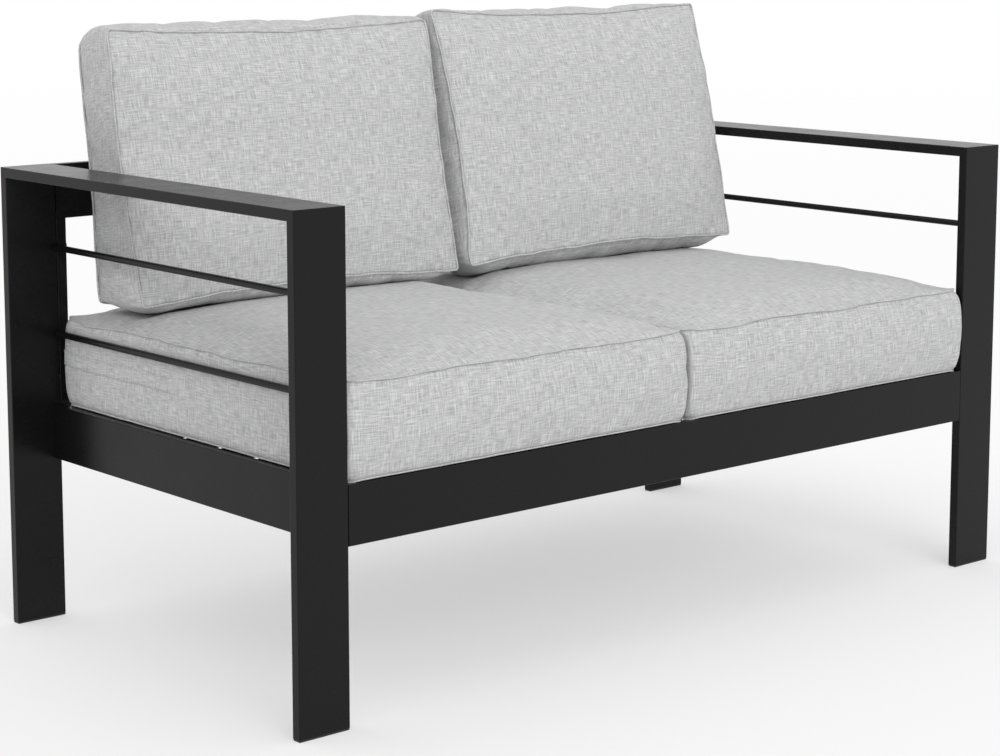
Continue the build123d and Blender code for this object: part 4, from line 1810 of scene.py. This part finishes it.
@dataclass
class Studio:
    """Plain pale floor, soft light and the camera at the photograph's angle."""

    camera_place: tuple[float, float, float] = (-2.272, -2.577, 0.954)
    azimuth: float = 40.84
    elevation: float = 8.24
    lens: float = 87.7
    shift: float = -0.1
    ambient: float = 0.85
    key_strength: float = 0.79
    key_azimuth: float = -18.0
    key_elevation: float = 26.0
    key_softness: float = 35.0
    sensor: float = 36.0
    far_clip: float = 60.0
    floor_half: float = 14.0
    floor_level: float = 0.75
    floor_fade: tuple[float, float] = (0.35, 0.9)
    floor_glow: float = 0.45

    def build(self) -> None:
        """Makes the floor, the lights, the world and the camera."""
        self.set_view()
        self.make_world()
        self.make_floor()
        self.make_key()
        self.make_camera()

    @staticmethod
    def set_view() -> None:
        """Shows colours as they are written."""
        bpy.context.scene.view_settings.view_transform = "Standard"

    def make_world(self) -> None:
        """An even pale world: a soft dome to the surfaces, plain white to camera and gloss."""
        world = bpy.data.worlds.new("studio")
        world.use_nodes = True
        world.node_tree.nodes.clear()
        graph = Graph(world.node_tree)
        path = graph.node("ShaderNodeLightPath")
        rays = [path.outputs[f"Is {kind} Ray"] for kind in ("Camera", "Glossy", "Transmission")]
        shown = graph.math("MAXIMUM", *rays)
        domes = []
        for strength in (self.ambient, 1.0):
            dome = graph.node("ShaderNodeBackground")
            dome.inputs["Color"].default_value = (*grey(1.0), 1.0)
            dome.inputs["Strength"].default_value = strength
            domes.append(dome)
        mix = graph.shader_mix(shown, *domes)
        output = graph.node("ShaderNodeOutputWorld")
        graph.feed(output.inputs["Surface"], mix.outputs[0])
        bpy.context.scene.world = world

    def make_floor(self) -> None:
        """A wide pale floor that fades into the white far away."""
        half = self.floor_half
        points = np.array(((-half, -half, 0), (half, -half, 0), (half, half, 0), (-half, half, 0)))
        material = bpy.data.materials.new("pale floor")
        material.use_nodes = True
        material.node_tree.nodes.clear()
        graph = Graph(material.node_tree)
        path = graph.node("ShaderNodeLightPath")
        diffuse = graph.node("ShaderNodeBsdfDiffuse")
        seen = graph.math("MAXIMUM", path.outputs["Is Camera Ray"], path.outputs["Is Glossy Ray"])
        graph.feed(diffuse.inputs["Color"], graph.blend(seen, grey(self.floor_level), grey(1.0)))
        length = graph.node("ShaderNodeVectorMath", operation="LENGTH")
        graph.feed(length.inputs[0], graph.node("ShaderNodeTexCoord").outputs["Object"])
        start, end = (share * half for share in self.floor_fade)
        fade = graph.span(length.outputs["Value"], start, end)
        white = graph.node("ShaderNodeEmission")
        lifted = graph.shader_mix(graph.math("MULTIPLY", seen, self.floor_glow), diffuse, white)
        mix = graph.shader_mix(fade, lifted, graph.node("ShaderNodeBsdfTransparent"))
        output = graph.node("ShaderNodeOutputMaterial")
        graph.feed(output.inputs["Surface"], mix.outputs[0])
        floor = mesh_piece("studio_floor", points, [[0, 1, 2, 3]], material)

    def make_key(self) -> None:
        """One broad soft light from the front, a little from the left."""
        lamp = bpy.data.lights.new("key", "SUN")
        lamp.energy = self.key_strength
        lamp.angle = math.radians(self.key_softness)
        key = bpy.data.objects.new("key", lamp)
        turn = math.radians(self.key_azimuth)
        lift = math.radians(self.key_elevation)
        toward = Vector((math.sin(turn) * math.cos(lift), -math.cos(turn) * math.cos(lift), math.sin(lift)))
        key.rotation_mode = "QUATERNION"
        key.rotation_quaternion = toward.to_track_quat("Z", "Y")
        key.visible_glossy = False
        bpy.context.scene.collection.objects.link(key)

    def make_camera(self) -> None:
        """The camera at the photograph's angle and distance."""
        data = bpy.data.cameras.new("photo camera")
        data.lens = self.lens
        data.sensor_width = self.sensor
        data.shift_y = self.shift
        data.clip_end = self.far_clip
        camera = bpy.data.objects.new("photo camera", data)
        camera.location = self.camera_place
        camera.rotation_euler = (math.radians(90 - self.elevation), 0.0, math.radians(-self.azimuth))
        bpy.context.scene.collection.objects.link(camera)
        bpy.context.scene.camera = camera


# The loveseat


def leaning(degrees: float) -> Matrix:
    """Turns a cushion that is built lying down so that it stands and leans back by an angle."""
    lean = math.radians(degrees)
    return Matrix(((1, 0, 0), (0, math.sin(lean), -math.cos(lean)), (0, math.cos(lean), math.sin(lean))))


@dataclass(frozen=True)
class Slump:
    """How one back cushion differs from its CAD solid: lean in degrees, and its place and fullness."""

    lean: float
    lift: float
    slide: float
    fuller: float
    taller: float
    hem_inset: float
    zip_rise: float


@dataclass
class Loveseat:
    """Sizes of the four cushions and where they are, and the order in which all is built."""

    seat_width: float = 567 * MM
    seat_length: float = 642 * MM
    seat_boxing: float = 112 * MM
    seat_x: float = 285 * MM
    seat_y: float = -10 * MM
    seat_z: float = 362.3 * MM
    back_width: float = 550 * MM
    back_length: float = 378 * MM
    back_boxing: float = 88 * MM
    back_lean: float = 12.4
    back_x: float = 278 * MM
    back_y: float = 211.2 * MM
    back_z: float = 623 * MM
    seat_inner_gaps: dict[Side, float] = field(
        default_factory=lambda: {Side.LEFT: 0.6 * MM, Side.RIGHT: 2.4 * MM}
    )
    slumps: dict[Side, Slump] = field(
        default_factory=lambda: {
            Side.LEFT: Slump(
                lean=-1.2,
                lift=-2 * MM,
                slide=-1 * MM,
                fuller=0.0,
                taller=4 * MM,
                hem_inset=9 * MM,
                zip_rise=-1 * MM,
            ),
            Side.RIGHT: Slump(
                lean=1.4,
                lift=3 * MM,
                slide=-4 * MM,
                fuller=6 * MM,
                taller=11 * MM,
                hem_inset=8.5 * MM,
                zip_rise=-3 * MM,
            ),
        }
    )

    def seat(self, side: Side) -> SeatCushion:
        """Sets up the seat cushion of one side, in its place.

        Args:
            side: which side it is on.

        Returns:
            The cushion, ready to build.
        """
        half = self.seat_boxing / 2
        return SeatCushion(
            kind=CushionKind.SEAT,
            side=side,
            width=self.seat_width,
            length=self.seat_length,
            boxing=self.seat_boxing,
            upper_seam=SeamLine(
                near=2 * MM,
                far=2 * MM,
                sides=1 * MM,
                corner_radius=20 * MM,
                height_near=half,
                height_far=half,
                draw_in=1.5 * MM,
                ears=3 * MM,
            ),
            lower_seam=SeamLine(
                near=0.5 * MM,
                far=2 * MM,
                sides=0.5 * MM,
                corner_radius=20 * MM,
                height_near=-half - 3.6 * MM,
                height_far=-half - 3.6 * MM,
                waviness=0.15,
            ),
            waist=SeamLine(near=-5 * MM, far=-1 * MM, sides=-1.5 * MM, corner_radius=7 * MM),
            upper_crown=28 * MM,
            lower_crown=6 * MM,
            zip_run=ZipRun(side=BoxSide.RIGHT, start=50 * MM, end=292 * MM),
            place=Matrix.Translation((side.value * self.seat_x, self.seat_y, self.seat_z)),
            seed=20 + side.value,
            welt_half_width=1.1 * MM,
            seam_depth=1.6 * MM,
            inner_gap=self.seat_inner_gaps[side],
        )

    def back(self, side: Side) -> BackCushion:
        """Sets up the back cushion of one side, slumped in its own way about its upper edge.

        Args:
            side: which side it is on.

        Returns:
            The cushion, ready to build.
        """
        slump = self.slumps[side]
        pivot = Vector((0, self.back_length / 2, self.back_boxing / 2))
        middle = Vector((side.value * self.back_x, self.back_y, self.back_z))
        top = middle + leaning(self.back_lean) @ pivot
        turn = leaning(self.back_lean + slump.lean)
        centre = top - turn @ pivot + Vector((slump.slide, 0, slump.lift))
        return BackCushion(
            kind=CushionKind.BACK,
            side=side,
            width=self.back_width,
            length=self.back_length,
            boxing=self.back_boxing,
            upper_seam=SeamLine(
                near=slump.hem_inset,
                far=1 * MM - slump.taller,
                sides=4 * MM,
                corner_radius=6 * MM,
                height_near=44 * MM,
                height_far=44 * MM,
                draw_ends=11 * MM,
                draw_inner=8 * MM,
                draw_outer=-7 * MM,
            ),
            lower_seam=SeamLine(
                near=4 * MM,
                far=2 * MM,
                sides=6 * MM,
                corner_radius=10 * MM,
                height_near=-60 * MM,
                height_far=-30 * MM,
                near_corner_lift=20 * MM,
                far_corner_lift=5 * MM,
            ),
            waist=SeamLine(near=0.0, far=-13 * MM, sides=2 * MM, corner_radius=10 * MM, draw_inner=5 * MM),
            near_corner_fullness=0.1,
            far_corner_fullness=0.8,
            upper_crown=24 * MM,
            lower_crown=62 * MM + slump.fuller,
            zip_run=ZipRun(side=BoxSide.NEAR, start=-222 * MM, end=222 * MM),
            place=Matrix.Translation(centre) @ turn.to_4x4(),
            zip_place=Matrix.Translation(middle) @ leaning(self.back_lean).to_4x4(),
            zip_rise=slump.zip_rise,
            seed=40 + side.value,
        )

    def build(self) -> None:
        """Dresses the frame and makes the cushions."""
        effects = Effects()
        finishes = {
            "frame_metal": PowderCoat("satin black coat").build(effects),
            "cover_fabric": WovenFabric("light grey weave").build(effects),
            "foam": OpenFoam("cream foam").build(effects),
            "zip_tape": ZipWeave("grey zip tape").build(effects),
            "zip_metal": PlatedSteel("zip metal").build(effects),
            "black_plastic": MouldedPlastic("black moulded plastic").build(effects),
            "fastener_steel": PlatedSteel("plated fastener steel").build(effects),
            "thread": SewingThread("grey thread").build(effects),
        }
        CoatedFrame().dress(finishes)
        for cushion in [self.seat(side) for side in Side] + [self.back(side) for side in Side]:
            pieces = cushion.build(finishes)
            log.info("built %s: %s", cushion.name, ", ".join(piece.name for piece in pieces))


def main() -> None:
    """Builds the loveseat, then the studio."""
    logging.basicConfig(level=logging.INFO, format="%(name)s: %(message)s")
    Loveseat().build()
    Studio().build()


if __name__ == "__main__":
    main()
